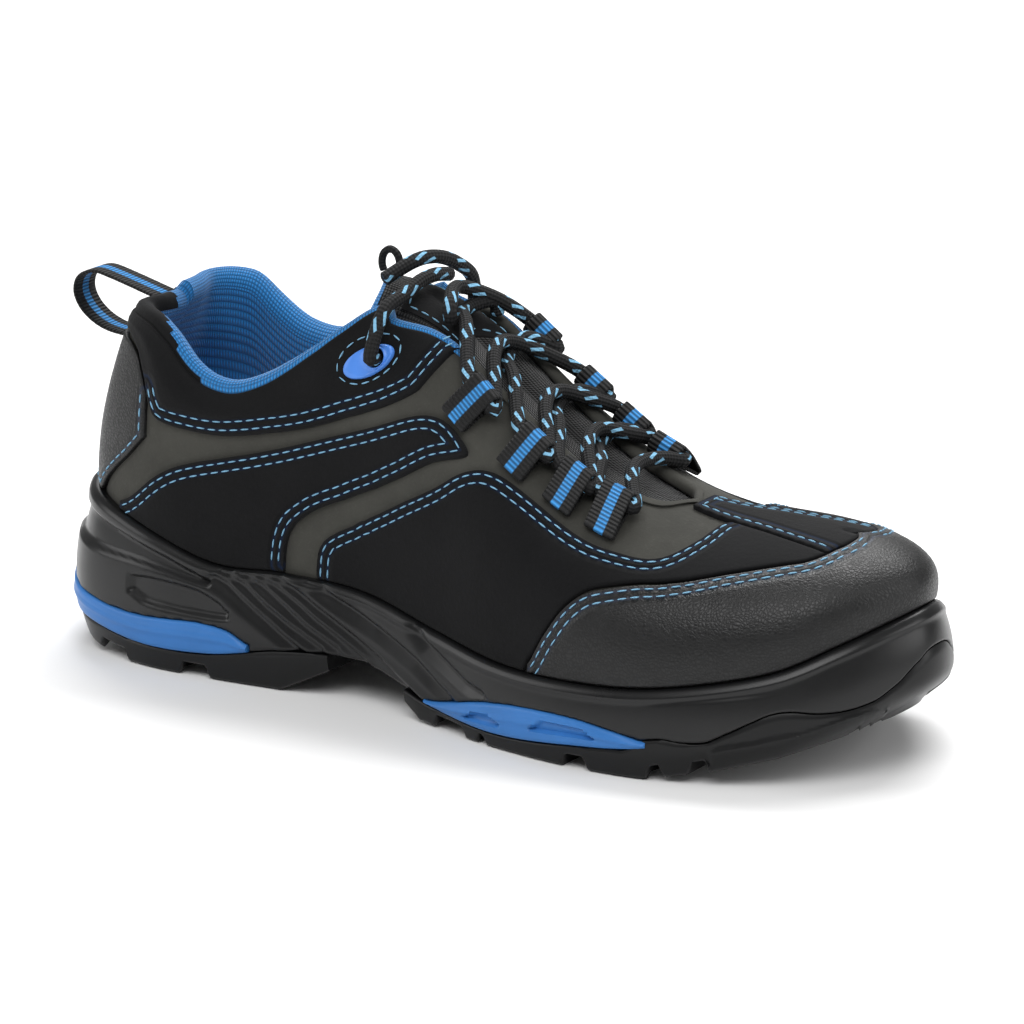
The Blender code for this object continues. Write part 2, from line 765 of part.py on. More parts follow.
def build_sole(parts, cutters, colours):
    """Midsole, tread and the blue inserts."""
    midsole = ring_solid("midsole", midsole_profile, colours["midsole"], parts)

    heel_rows = insert_rows(HEEL_INSERT_TOP, -1)
    wrap_band("heel_insert", heel_rows, INSERT_DEPTH, INSERT_PROUD, colours["insert"], parts)
    pocket_rows = [(along, low - 4 * GAP, high) for along, low, high in heel_rows]
    pockets = [
        wrap_band("heel insert pocket", pocket_rows, INSERT_DEPTH, CUTTER_REACH, None, cutters, grow=GAP)
    ]
    for side, word in ((-1, "lateral"), (1, "medial")):
        rows = insert_rows(FOREFOOT_INSERT_TOP, side)
        name = f"forefoot_insert_{word}"
        side_band(name, rows, side, INSERT_DEPTH, INSERT_PROUD, colours["insert"], parts)
        rows = [(along, low - 4 * GAP, high) for along, low, high in rows]
        pockets.append(
            side_band(name + " pocket", rows, side, INSERT_DEPTH, CUTTER_REACH, None, cutters, grow=GAP)
        )
    cut(midsole, pockets, "Insert pocket")

    height = HEEL_CUP_HEIGHT
    pod_rows = [(along, low * height, high * height) for along, low, high in UPPER_POD]
    pods = [wrap_band("upper pod", pod_rows, POD_DEPTH, CUTTER_REACH, None, cutters)]
    pod_rows = [(along, low * height, high * height) for along, low, high in LOWER_POD]
    for side, word in ((-1, "lateral"), (1, "medial")):
        pods.append(side_band(f"lower pod {word}", pod_rows, side, POD_DEPTH, CUTTER_REACH, None, cutters))
    cut(midsole, pods, "Pod")

    furrows = []
    for side in (-1, 1):
        for k, (top_along, top, low_along, low) in enumerate(RIBS):
            path = []
            for share in (0.0, 0.33, 0.66, 1.0):
                x = (top_along + (low_along - top_along) * share) * SOLE_LENGTH - HEEL_TO_ORIGIN
                z = (top + (low - top) * share) * height
                position = loop_position(station_at(x, side), side)
                path.append(sole_wall(position, z, RIB_RADIUS * 0.25))
            furrows.append(tube_mesh(f"furrow {side} {k}", path, RIB_RADIUS, 4, None, cutters))
    cut(midsole, furrows, "Furrow")

    limits = {
        "outsole_heel": (-SOLE_LENGTH, 0.345, HEEL_GROOVES),
        "outsole_forefoot": (0.445, SOLE_LENGTH * 2, FOREFOOT_GROOVES),
    }
    for name, (start, end, grooves) in limits.items():
        tread = ring_solid(name, outsole_profile, colours["tread"], parts)
        low_x = start if start < 0 else start * SOLE_LENGTH - HEEL_TO_ORIGIN
        high_x = end if end > 0.5 else end * SOLE_LENGTH - HEEL_TO_ORIGIN
        keep = box_object(
            name + " keep",
            (low_x, -BALL_WIDTH, -10 * MM),
            (high_x, BALL_WIDTH, HEEL_CUP_HEIGHT * 1.2),
            cutters,
        )
        cut(tread, [keep], "Keep", "INTERSECT")
        cuts = [
            groove_cutter(f"{name} groove {k + 1}", *row, cutters) for k, row in enumerate(grooves)
        ]
        cut(tread, cuts, "Groove")


OUTER_ROWS = (-1.0, 0.0, 0.12, 0.26, 0.4, 0.55, 0.7, 0.86, 1.0)
INNER_ROWS = (1.0, 0.85, 0.62, 0.38, 0.15, -1.0)


def collar_share(position):
    """How much of the collar's padding there is at a position: all of it round the ankle."""
    x = last_point(position, free_edge(position)).x
    share = (x + HEEL_TO_ORIGIN) / SOLE_LENGTH
    return 1 - min(max((share - 0.33) / 0.06, 0.0), 1.0)


def wall_depth(position, share):
    """Thickness of the upper's wall at a share of the way from the rim to its free edge."""
    near = min(max((share - 0.45) / 0.3, 0.0), 1.0)
    return UPPER_WALL + COLLAR_PADDING * near * collar_share(position)


def build_upper(parts, colours):
    """The upper: one hollow wall, open at collar and throat, and underneath."""
    columns = []
    closed = []
    for position in loop_positions():
        edge = free_edge(position)
        closed.append(edge >= 1.0)
        outer = [last_point(position, r * edge if r > 0 else r) for r in OUTER_ROWS]
        inner = []
        for r in INNER_ROWS:
            girth = r * edge if r > 0 else r
            inner.append(last_point(position, girth, wall_depth(position, r)))
        lift = 0.0 if closed[-1] else 0.35 * wall_depth(position, 1.0)
        middle = (outer[-1] + inner[0]) / 2 + Vector((0, 0, lift))
        columns.append(outer + [middle] + inner)
    height = len(columns[0])
    seam = (len(OUTER_ROWS) - 1, len(OUTER_ROWS))
    points = [point for column in columns for point in column]
    faces = []
    for c in range(len(columns)):
        d = (c + 1) % len(columns)
        for r in range(height):
            if r in seam and closed[c] and closed[d]:
                continue
            q = (r + 1) % height
            faces.append((c * height + r, d * height + r, d * height + q, c * height + q))
    mesh_object("upper", points, faces, colours["upper"], parts)


def build_insole(parts, colours):
    inset = RIM_THICKNESS + GAP + UPPER_WALL + GAP

    def profile(position):
        row = section(position)
        low = row["footbed"] + GAP
        return [sole_edge(position, inset, low), sole_edge(position, inset, low + INSOLE_THICKNESS)]

    ring_solid("insole", profile, colours["insole"], parts)


TONGUE_STATIONS = (6.15, 6.35, 6.6, 7.0, 7.5, 8.0, 8.5, 9.0, 9.4, 9.75)
TONGUE_SWEEP = 0.5
TONGUE_SHARES = (-1.0, -0.75, -0.45, -0.15, 0.15, 0.45, 0.75, 1.0)


def tongue_point(station, share, depth):
    """A point of the tongue: share runs from its outer edge, -1, to its inner edge, 1.

    Its top end is drawn back towards the ankle at its sides.
    """
    side = -1 if share < 0 else 1
    free = max(1 - (station - TONGUE_STATIONS[0]) / 1.5, 0.0)
    station -= TONGUE_SWEEP * free * share * share
    position = loop_position(station, side)
    girth = girth_at_half(position, abs(share) * TONGUE_HALF_WIDTH)
    edge = free_edge(position)
    under = min((1 - girth) / max(1 - edge, 1e-3), 1.0)
    wall = wall_depth(position, min(girth / edge, 1.0))
    return last_point(position, girth, UPPER_WALL + (wall - UPPER_WALL) * under + depth)


def build_tongue(parts, colours):
    """The tongue: a padded slab that lies inside the throat and stands above it."""
    grids = []
    for depth in (TONGUE_GAP, TONGUE_GAP + TONGUE_THICKNESS):
        grids.append(
            [[tongue_point(s, share, depth) for share in TONGUE_SHARES] for s in TONGUE_STATIONS]
        )
    shell_patch("tongue", grids[0], grids[1], colours["tongue"], parts)


# Girths below are those of last_point: 0 at the sole's rim and 1 on the ridge.
# Lower edge of the collar panel, by station, the same on both sides.
COLLAR_PANEL_LOW = (
    (0.00, 0.355),
    (2.35, 0.360),
    (2.65, 0.345),
    (2.85, 0.300),
    (3.00, 0.240),
    (3.15, 0.226),
    (3.60, 0.235),
    (4.10, 0.250),
    (4.60, 0.268),
    (5.00, 0.290),
    (5.40, 0.330),
    (5.90, 0.400),
    (6.30, 0.470),
    (6.70, 0.550),
    (7.00, 0.635),
)
COLLAR_PANEL_INNER_END = 6.7
# Lower edge of the heel counter; its upper edge follows the collar panel's.
COUNTER_LOW = ((0.0, 0.0), (1.8, 0.0), (2.0, 0.03), (2.3, 0.075), (2.6, 0.122), (2.9, 0.178))
# Side panel: station, low and high girth. A low of 0 is the sole's rim.
SIDE_PANEL = (
    (2.50, 0.000, 0.030),
    (2.75, 0.000, 0.058),
    (3.20, 0.000, 0.128),
    (3.70, 0.000, 0.180),
    (4.20, 0.000, 0.213),
    (4.75, 0.000, 0.235),
    (4.95, 0.000, 0.252),
    (5.03, 0.105, 0.258),
    (5.30, 0.138, 0.285),
    (5.70, 0.185, 0.332),
    (6.13, 0.247, 0.390),
    (6.50, 0.310, 0.445),
    (6.93, 0.395, 0.504),
    (7.20, 0.448, 0.528),
    (7.38, 0.495, 0.533),
)
# Top edge of the quarter panel, by station.
QUARTER_TOP = (
    (5.40, 0.030),
    (5.57, 0.086),
    (5.80, 0.127),
    (6.00, 0.166),
    (6.50, 0.248),
    (7.03, 0.343),
    (7.50, 0.459),
    (7.85, 0.530),
    (8.08, 0.549),
    (8.45, 0.557),
    (9.16, 0.547),
    (9.45, 0.560),
    (9.72, 0.573),
    (9.95, 0.615),
    (10.20, 0.729),
    (10.40, 0.830),
    (10.80, 0.785),
    (11.20, 0.755),
    (11.50, 0.735),
)
# Top edge of the toe cap, by station.
CAP_EDGE = (
    (8.40, 0.030),
    (8.60, 0.130),
    (8.88, 0.265),
    (9.15, 0.360),
    (9.45, 0.417),
    (9.72, 0.460),
    (10.04, 0.500),
    (10.56, 0.580),
    (11.12, 0.648),
    (11.60, 0.690),
    (12.15, 0.770),
    (13.00, 0.860),
    (13.70, 0.920),
    (14.00, 0.930),
)
PANEL_SEAM = 0.012
STRIP_SEAM = 2.2 * MM
STRIP_HALF_BACK = 6 * MM
STRIP_HALF_FRONT = 15 * MM

# Webbing loops, from the ankle to the toe: station and girth of the low end, girth of the
# high end, and how much further on its high end is, in stations.
LACE_LOOPS = (
    (7.28, 0.560, 0.715, 0.36),
    (8.06, 0.585, 0.730, 0.24),
    (8.66, 0.595, 0.740, 0.15),
    (9.19, 0.600, 0.760, 0.10),
)
# The inner side's loops stand nearer the middle, and a little further back.
MEDIAL_LOOP_SHIFT = (-0.16, 0.06)
LOOP_LIFT = 0.9 * MM
LOOP_TURN = LACE_DIAMETER / 2 + 0.5 * MM + WEBBING_THICKNESS / 2
LOOP_SEAT = 0.80
LACE_REACH = 2.8 * MM
LACE_REACH_STATIONS = 0.10
EYELET_PLACE = (6.08, 0.556)
EYELET_TURN = 48
EYELET_OFFSET = (EYELET_LENGTH - EYELET_WIDTH) / 2 * 0.75
EYELET_LIFT = OVERLAY_GAP + OVERLAY + 1.5 * GAP


def low_limit(position):
    """The girth at which an overlay clears the sole's rim."""
    return girth_at_height(position, section(position)["rim"] + 2 * GAP)


def overlay_patch(name, columns, thickness, surface, collection, steps=4, lift=OVERLAY_GAP):
    """A panel on the upper. columns: loop position, low girth, high girth."""
    outer, inner = [], []
    for position, low, high in columns:
        position = position % LOOP
        low = max(low, low_limit(position))
        high = max(high, low + 0.012)
        girths = [low + (high - low) * k / steps for k in range(steps + 1)]
        outer.append([last_point(position, girth, -lift - thickness) for girth in girths])
        inner.append([last_point(position, girth, -lift) for girth in girths])
    return shell_patch(name, outer, inner, surface, collection)


def spread(start, end, step):
    """Even values from start to end, about step apart."""
    count = max(round(abs(end - start) / step), 1)
    return [start + (end - start) * k / count for k in range(count + 1)]


def columns_between(start, end, more=()):
    """Loop positions from start to end, in line with the upper's own columns of points."""
    stations = {*COLUMN_STATIONS, *more}
    every = sorted(stations | {LOOP - s for s in stations})
    every = [s - LOOP for s in every if s > LOOP - LAST_STATION] + every
    inside = [s for s in every if start + 0.12 < s < end - 0.12]
    return [start, *sorted(set(inside)), end]


def cap_edge(station):
    return smooth_value(CAP_EDGE, station)


def build_panels(parts, colours):
    """The panels sewn on the upper, from the heel to the toe."""
    columns = []
    corner = (2.75, 2.9)
    for turn in columns_between(-COLLAR_PANEL_INNER_END, COLLAR_PANEL_LOW[-1][0], corner):
        low = smooth_value(COLLAR_PANEL_LOW, abs(turn))
        columns.append((turn, low, free_edge(turn % LOOP) - PANEL_SEAM))
    overlay_patch("collar_panel", columns, OVERLAY, colours["panel"], parts)

    columns = []
    for turn in columns_between(-COUNTER_LOW[-1][0], COUNTER_LOW[-1][0], corner[:1]):
        low = table_value(COUNTER_LOW, abs(turn))
        high = smooth_value(COLLAR_PANEL_LOW, abs(turn)) - PANEL_SEAM
        columns.append((turn, low, high))
    overlay_patch("heel_counter", columns, OVERLAY, colours["leather"], parts, steps=5)

    for side, word in ((-1, "lateral"), (1, "medial")):
        columns = [(loop_position(row[0], side), row[1], row[2]) for row in SIDE_PANEL]
        overlay_patch(f"side_panel_{word}", columns, OVERLAY, colours["panel"], parts)
        columns = []
        stations = columns_between(QUARTER_TOP[0][0], QUARTER_TOP[-1][0])
        for station in sorted({*stations, CAP_EDGE[0][0], 8.75, 9.25, 10.25, 10.4}):
            low = 0.0
            if station >= CAP_EDGE[0][0]:
                low = cap_edge(station) + PANEL_SEAM
            columns.append((loop_position(station, side), low, smooth_value(QUARTER_TOP, station)))
        name = f"quarter_panel_{word}"
        overlay_patch(name, columns, OVERLAY, colours["panel"], parts, steps=5)

    columns = []
    start = CAP_EDGE[0][0]
    for turn in columns_between(start, LOOP - start, (8.75, 9.25)):
        columns.append((turn, 0.0, cap_edge(station_of(turn))))
    overlay_patch("toe_cap", columns, CAP_OVERLAY, colours["leather"], parts, steps=6)
    build_strip(parts, colours)


def skin_over(x, half, depth):
    """The skin's point at x, half to the side of the ridge; negative half is the outer side."""
    side = -1 if half < 0 else 1
    low, high = 8.0, float(LAST_STATION)
    for _ in range(30):
        middle = (low + high) / 2
        position = loop_position(middle, side)
        if last_point(position, girth_at_half(position, abs(half))).x < x:
            low = middle
        else:
            high = middle
    return last_point(position, girth_at_half(position, abs(half)), depth)


def cap_edge_x(half):
    """Where the toe cap's edge lies along the shoe, half to the side of the ridge."""
    low, high = CAP_EDGE[0][0], float(LAST_STATION)
    side = -1 if half < 0 else 1
    for _ in range(30):
        middle = (low + high) / 2
        position = loop_position(middle, side)
        point = last_point(position, cap_edge(middle))
        if abs(point.y - section(position)["ridge_y"]) > abs(half):
            low = middle
        else:
            high = middle
    return point.x


def build_strip(parts, colours):
    """The strip down the middle of the vamp, from the throat to the toe cap."""
    start = THROAT_LINE[-1][0] * SOLE_LENGTH - HEEL_TO_ORIGIN + 1.5 * MM
    lift = OVERLAY_GAP
    outer, inner = [], []
    for share in (0.0, 0.25, 0.5, 0.75, 1.0):
        half = STRIP_HALF_BACK + (STRIP_HALF_FRONT - STRIP_HALF_BACK) * share
        rows = ([], [])
        for across in (-1.0, -0.6, -0.2, 0.2, 0.6, 1.0):
            end = cap_edge_x(across * half) - STRIP_SEAM
            x = start + (end - start) * share
            rows[0].append(skin_over(x, across * half, -lift - OVERLAY))
            rows[1].append(skin_over(x, across * half, -lift))
        outer.append(rows[0])
        inner.append(rows[1])
    shell_patch("vamp_strip", outer, inner, colours["panel"], parts)


def skin(station, side, girth, lift):
    return last_point(loop_position(station, side), girth, -lift)


def skin_frame(station, side, girth):
    """A point of the skin with three directions: along the shoe, up its side, and outwards."""
    point = skin(station, side, girth, 0)
    along = skin(station + 0.05, side, girth, 0) - skin(station - 0.05, side, girth, 0)
    along.normalize()
    up = skin(station, side, girth + 0.01, 0) - skin(station, side, girth - 0.01, 0)
    up = (up - along * up.dot(along)).normalized()
    return point, along, up, along.cross(up) * -side


def loop_place(row, share, side):
    """Station, side and girth at a share of the way up a lace loop."""
    station, low, high, turn = row
    shift, rise = MEDIAL_LOOP_SHIFT if side > 0 else (0.0, 0.0)
    return station + turn * share + shift, side, low + (high - low) * share + rise


def build_lace_loops(parts, colours):
    """Webbing folded round the lace, four on each side of the throat."""
    bottom = LOOP_LIFT + WEBBING_THICKNESS / 2
    for side, word in ((-1, "lateral"), (1, "medial")):
        for k, row in enumerate(LACE_LOOPS):
            seat, along, up, out = skin_frame(*loop_place(row, LOOP_SEAT, side))
            low, _, _, low_out = skin_frame(*loop_place(row, 0.0, side))
            half, _, _, half_out = skin_frame(*loop_place(row, 0.45, side))
            centre = seat + out * (bottom + LOOP_TURN)
            path = [low + low_out * bottom, half + half_out * bottom]
            for angle in (-90, -45, 0, 45, 90):
                a = math.radians(angle)
                path.append(centre + (up * math.cos(a) + out * math.sin(a)) * LOOP_TURN)
            end = low + low_out * (bottom + WEBBING_THICKNESS + 1.5 * GAP)
            path.append(path[-1].lerp(end, 0.45) + out * 0.5 * MM)
            path += [end, low + low_out * (bottom + WEBBING_THICKNESS * 0.9) - up * 0.9 * MM]
            across = [along * (WEBBING_WIDTH / 2)] * len(path)
            name = f"lace_loop_{word}_{k + 1}"
            ribbon(name, path, across, WEBBING_THICKNESS, colours["webbing"], parts, closed=True)


def lace_seat(row, side, ahead):
    """Where the lace turns beside a loop, on its throat side, ahead of its middle or behind."""
    seat, along, up, out = skin_frame(*loop_place(row, LOOP_SEAT, side))
    inwards = LOOP_TURN + WEBBING_THICKNESS / 2 + LACE_DIAMETER / 2 + 3 * GAP
    return seat + up * inwards + out * LACE_SIDE_LIFT + along * LACE_REACH * ahead


def throat_point(station, side, share, lift):
    """A point over the throat: share 0 is its middle line, 1 an eyestay's edge."""
    position = loop_position(station, side)
    half = THROAT_HALF_WIDTH * share * (THROAT_INNER_SHARE if side > 0 else 1.0)
    girth = 1.0 if share == 0 else girth_at_half(position, half)
    return last_point(position, girth, -lift)


def lace_bridge(start, end, side, over):
    """Points of the lace between a loop's station on one side and another's on the other."""
    low = LACE_DIAMETER / 2 - UPPER_WALL - TONGUE_GAP + 2.4 * MM
    middle = low + LACE_DIAMETER + 0.8 * MM if over else low
    edge = max((middle + EDGE_LIFT) / 2, EDGE_LIFT - 0.8 * MM)
    return [
        throat_point(start * 0.75 + end * 0.25, side, 0.6, edge),
        throat_point((start + end) / 2, side, 0.0, middle),
        throat_point(start * 0.25 + end * 0.75, -side, 0.6, edge),
    ]


EDGE_LIFT = 4.4 * MM
LACE_SIDE_LIFT = 3.9 * MM
LACE_TOP_STATION = 7.15
LACE_OVERRUN = 1.3 * MM


def lace_half(side, over):
    """Strands of the lace from the tongue's top on one side down to the front of the last loop.

    Each strand crosses the throat; a short one beside each loop, clear of it, joins the next.
    """
    position = loop_position(LACE_TOP_STATION, side)
    girth = girth_at_half(position, THROAT_HALF_WIDTH * 0.65)
    top = last_point(position, girth, UPPER_WALL + TONGUE_GAP - LACE_DIAMETER / 2 - 1.2 * MM)
    strands = []
    start, start_station = top, LACE_TOP_STATION
    for row in LACE_LOOPS:
        side, station = -side, loop_place(row, LOOP_SEAT, -side)[0]
        back, front = lace_seat(row, side, -1), lace_seat(row, side, 1)
        bridge = lace_bridge(start_station, station - LACE_REACH_STATIONS, -side, over)
        turn = (front - back).normalized() * LACE_OVERRUN
        strands.append(smooth_path([start, *bridge, back], 2))
        strands.append([back - turn, front + turn])
        start, start_station, over = front, station + LACE_REACH_STATIONS, not over
    return strands, start


def build_lace(parts, cutters, colours):
    """The lace from the tongue at its top down in crossings to a bar across, joined in one."""
    down, down_end = lace_half(-1, True)
    up, up_end = lace_half(1, False)
    station = loop_place(LACE_LOOPS[-1], LOOP_SEAT, -1)[0] + LACE_REACH_STATIONS
    first = -1 if down_end.y < 0 else 1
    bar = [throat_point(station, turn, share, EDGE_LIFT) for turn, share in ((first, 0.4), (-first, 0.4))]
    radius = LACE_DIAMETER / 2
    lace = tube_mesh("lace", smooth_path([down_end, *bar, up_end], 2), radius, 6, colours["lace"], parts)
    joined = []
    for k, strand in enumerate(reversed(down + up)):
        joined.append(tube_mesh(f"lace strand {k + 1}", strand, radius, 6, None, cutters))
    cut(lace, joined, "Join", "UNION")


def eyelet_point(side, along, across, lift):
    """A point by an eyelet, from its middle: along its length, across it, and off the skin."""
    station, girth = EYELET_PLACE
    turn = math.radians(EYELET_TURN)
    middle, forward, up, out = skin_frame(station, side, girth)
    ahead = along * math.cos(turn) - across * math.sin(turn)
    rise = along * math.sin(turn) + across * math.cos(turn)
    step = (skin(station + 0.1, side, girth, 0) - middle) / 0.1
    climb = (skin(station, side, girth + 0.02, 0) - middle) / 0.02
    girths = rise / climb.dot(up)
    stations = (ahead - girths * climb.dot(forward)) / step.dot(forward)
    return skin(station + stations, side, girth + girths, 0) + out * lift


def build_eyelets(parts, colours):
    """An oval plate on each side of the collar, with a round hole towards its upper end."""
    for side, word in ((-1, "lateral"), (1, "medial")):
        rings = []
        spec = ((0.0, 1.0), (1.0, 1.0), (1.0, 0.0), (0.0, 0.0))
        for outer, top in spec:
            ring = []
            for k in range(16):
                a = 2 * math.pi * k / 16
                if outer:
                    along = math.cos(a) * EYELET_LENGTH / 2
                    across = math.sin(a) * EYELET_WIDTH / 2
                else:
                    along = EYELET_OFFSET + math.cos(a) * EYELET_HOLE / 2
                    across = math.sin(a) * EYELET_HOLE / 2
                lift = EYELET_LIFT + top * EYELET_THICKNESS
                ring.append(eyelet_point(side, along, across, lift))
            rings.append(ring)
        points, faces = bridged(rings, cyclic_rings=True)
        mesh_object(f"eyelet_{word}", points, faces, colours["eyelet"], parts)


# The lace's two ends cross over the tongue and are tucked in at the other side. Points from
# the eyelet on: along and across the shoe and up, in millimetres.
END_OVER = ((79, -24, 121), (80, -14, 124.5), (80.5, -6, 127), (81, 2, 127.5), (81, 10, 126))
END_UNDER = ((81, 23, 122), (80, 16, 128), (78, 8, 131.5), (75, 0, 131.5), (70, -10, 127.0))


def build_lace_ends(parts, colours):
    for name, side, route in (("lace_end_1", -1, END_OVER), ("lace_end_2", 1, END_UNDER)):
        hole = eyelet_point(side, EYELET_OFFSET, 0, EYELET_LIFT + 0.3 * MM)
        rise = eyelet_point(side, EYELET_OFFSET, 0, EYELET_LIFT + 4.2 * MM)
        path = [hole] + smooth_path([rise] + [Vector(point) * MM for point in route], 2)
        tube_mesh(name, path, LACE_DIAMETER / 2, 6, colours["lace"], parts)


# The tongue's cord loop: the angles of its first and last point, and the step between points.
TONGUE_LOOP_ARC = (-40, 220, 20)


def build_pull_loops(parts, colours):
    """The webbing loop behind the heel and the cord loop on the tongue."""
    lift = OVERLAY_GAP + OVERLAY + 1.5 * GAP + WEBBING_THICKNESS / 2
    front = []
    for height in (0.985, 0.95, 0.91, 0.87):
        girth = girth_at_height(0.0, height * COLLAR_HEIGHT)
        front.append(last_point(0.0, girth, -lift))
    behind = ((4, 96), (-3, 98), (-8.5, 102), (-11, 107), (-9.5, 112), (-4, 114.5), (3, 113.5), (8.5, 111))
    path = front + [Vector((x * MM - HEEL_TO_ORIGIN, 0, z * MM)) for x, z in behind]
    across = [Vector((0, PULL_LOOP_WIDTH / 2, 0))] * len(path)
    name = "heel_pull_loop"
    ribbon(name, path, across, WEBBING_THICKNESS, colours["webbing"], parts, closed=True)

    top = tongue_point(TONGUE_STATIONS[0], 0.1, TONGUE_THICKNESS / 2)
    radius = TONGUE_CORD / 2
    path = []
    for angle in spread(*TONGUE_LOOP_ARC):
        a = math.radians(angle)
        path.append(top + Vector((math.cos(a) * 3.2 * MM, 0, (math.sin(a) * 4.2 + 3.9) * MM)))
    tube_mesh("tongue_loop", path, radius, 6, colours["webbing"], parts)


def main():
    for old in list(bpy.data.objects):
        bpy.data.objects.remove(old)
    parts = new_collection("Safety sneaker")
    cutters = new_collection("Cutters")
    colours = {
        "midsole": material("Black foam", (0.02, 0.021, 0.023), 0.5),
        "tread": material("Black rubber", (0.016, 0.017, 0.019), 0.45),
        "insert": material("Blue foam", (0.035, 0.19, 0.52), 0.4),
        "upper": material("Grey nubuck", (0.07, 0.07, 0.066), 0.85),
        "panel": material("Black nubuck", (0.012, 0.012, 0.013), 0.8),
        "leather": material("Black grained leather", (0.014, 0.014, 0.015), 0.42),
        "tongue": material("Black mesh", (0.02, 0.02, 0.021), 0.9),
        "insole": material("Blue lining cloth", (0.01, 0.12, 0.36), 0.9),
        "webbing": material("Webbing", (0.02, 0.02, 0.022), 0.8),
        "eyelet": material("Blue plastic", (0.07, 0.2, 0.7), 0.3),
        "lace": material("Lace", (0.015, 0.016, 0.018), 0.85),
    }
    build_sole(parts, cutters, colours)
    build_upper(parts, colours)
    build_insole(parts, colours)
    build_tongue(parts, colours)
    build_panels(parts, colours)
    build_lace_loops(parts, colours)
    build_eyelets(parts, colours)
    build_lace(parts, cutters, colours)
    build_lace_ends(parts, colours)
    build_pull_loops(parts, colours)


main()
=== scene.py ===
"""Looks of a low safety sneaker, right foot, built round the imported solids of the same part.

Metres, +Z up, toe along +X, outer (lateral) side along -Y, as in the solids.
Every piece is a mesh laid out on the last: a form that runs from the sole's rim over the foot.
"""

import math
from functools import lru_cache

import bmesh
import bpy
from bpy.props import BoolProperty, FloatProperty, FloatVectorProperty, IntProperty, PointerProperty
from mathutils import Matrix, Vector
from mathutils.kdtree import KDTree


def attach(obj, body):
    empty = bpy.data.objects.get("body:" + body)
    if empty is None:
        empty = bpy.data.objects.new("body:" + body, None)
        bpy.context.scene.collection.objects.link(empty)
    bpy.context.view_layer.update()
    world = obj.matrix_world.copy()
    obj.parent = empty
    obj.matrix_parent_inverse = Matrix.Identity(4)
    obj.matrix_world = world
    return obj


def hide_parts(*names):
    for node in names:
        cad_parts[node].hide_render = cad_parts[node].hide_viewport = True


bl_info = {
    "name": "Safety sneaker",
    "version": (1, 0, 0),
    "blender": (4, 5, 0),
    "location": "View3D > Sidebar > Sneaker",
    "description": "Builds the visible pieces of a low lace-up safety sneaker round its solids",
    "category": "Object",
}

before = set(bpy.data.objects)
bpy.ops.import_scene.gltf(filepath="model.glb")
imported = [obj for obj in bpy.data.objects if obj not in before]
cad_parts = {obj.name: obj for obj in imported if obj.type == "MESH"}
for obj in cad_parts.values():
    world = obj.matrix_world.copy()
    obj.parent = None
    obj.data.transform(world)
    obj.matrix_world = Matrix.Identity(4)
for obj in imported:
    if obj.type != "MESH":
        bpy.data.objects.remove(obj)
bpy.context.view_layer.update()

MM = 0.001

# The same sizes and tables as the solids have, so that every piece lies where its solid is.
SOLE_LENGTH = 300 * MM
BALL_WIDTH = 103 * MM
HEEL_WIDTH = 73.4 * MM
HEEL_CUP_HEIGHT = 55 * MM
TOE_SPRING = 26 * MM
ARCH_HEIGHT = 14 * MM
HEEL_TO_ORIGIN = 38 * MM
INSTEP_HEIGHT = 110 * MM
COLLAR_HEIGHT = 109 * MM
THROAT_HALF_WIDTH = 18 * MM
THROAT_INNER_SHARE = 0.8
UPPER_WALL = 2.6 * MM
COLLAR_PADDING = 4.2 * MM
GAP = 0.3 * MM
RIM_THICKNESS = 3.2 * MM
FLARE_HEIGHT = 0.36
TREAD_STEP = 3 * MM
INSOLE_THICKNESS = 4 * MM
TONGUE_THICKNESS = 4.5 * MM
TONGUE_HALF_WIDTH = 24 * MM
TONGUE_GAP = 1.2 * MM

SOLE_COLUMNS = (
    "along", "lateral", "medial", "rim", "interface", "core", "footbed", "flare", "tuck",
)
SOLE_SECTIONS = (
    (0.000, 0.00, 0.00, 0.96, 0.225, 0.19, 0.62, 6.5, 5.0),
    (0.010, 0.41, 0.41, 0.95, 0.215, 0.18, 0.62, 6.3, 4.5),
    (0.045, 0.76, 0.77, 0.90, 0.190, 0.16, 0.62, 5.3, 3.0),
    (0.120, 0.97, 0.96, 0.79, 0.135, 0.12, 0.61, 3.0, 1.5),
    (0.205, 1.00, 0.97, 0.665, 0.150, 0.12, 0.60, 2.0, 1.2),
    (0.292, 0.96, 0.91, 0.675, 0.235, 0.17, 0.57, 1.8, 1.2),
    (0.384, 0.885, 0.79, 0.645, 0.250, 0.25, 0.52, 1.8, 1.2),
    (0.480, 0.875, 0.73, 0.535, 0.125, 0.125, 0.45, 2.0, 1.2),
    (0.570, 0.935, 0.80, 0.465, 0.085, 0.085, 0.385, 2.2, 1.2),
    (0.662, 1.000, 0.925, 0.460, 0.125, 0.110, 0.355, 2.2, 1.2),
    (0.757, 0.965, 0.985, 0.500, 0.190, 0.145, 0.365, 2.2, 1.5),
    (0.861, 0.770, 0.920, 0.620, 0.375, 0.220, 0.425, 2.8, 3.5),
    (0.916, 0.520, 0.620, 0.760, 0.470, 0.330, 0.510, 3.8, 6.0),
    (0.950, 0.210, 0.330, 0.860, 0.620, 0.420, 0.580, 4.3, 8.0),
    (0.963, -0.050, 0.050, 0.900, 0.740, 0.470, 0.620, 4.5, 9.0),
)
LAST_COLUMNS = ("ridge_along", "ridge_side", "ridge_height", "side_round", "top_round", "swell")
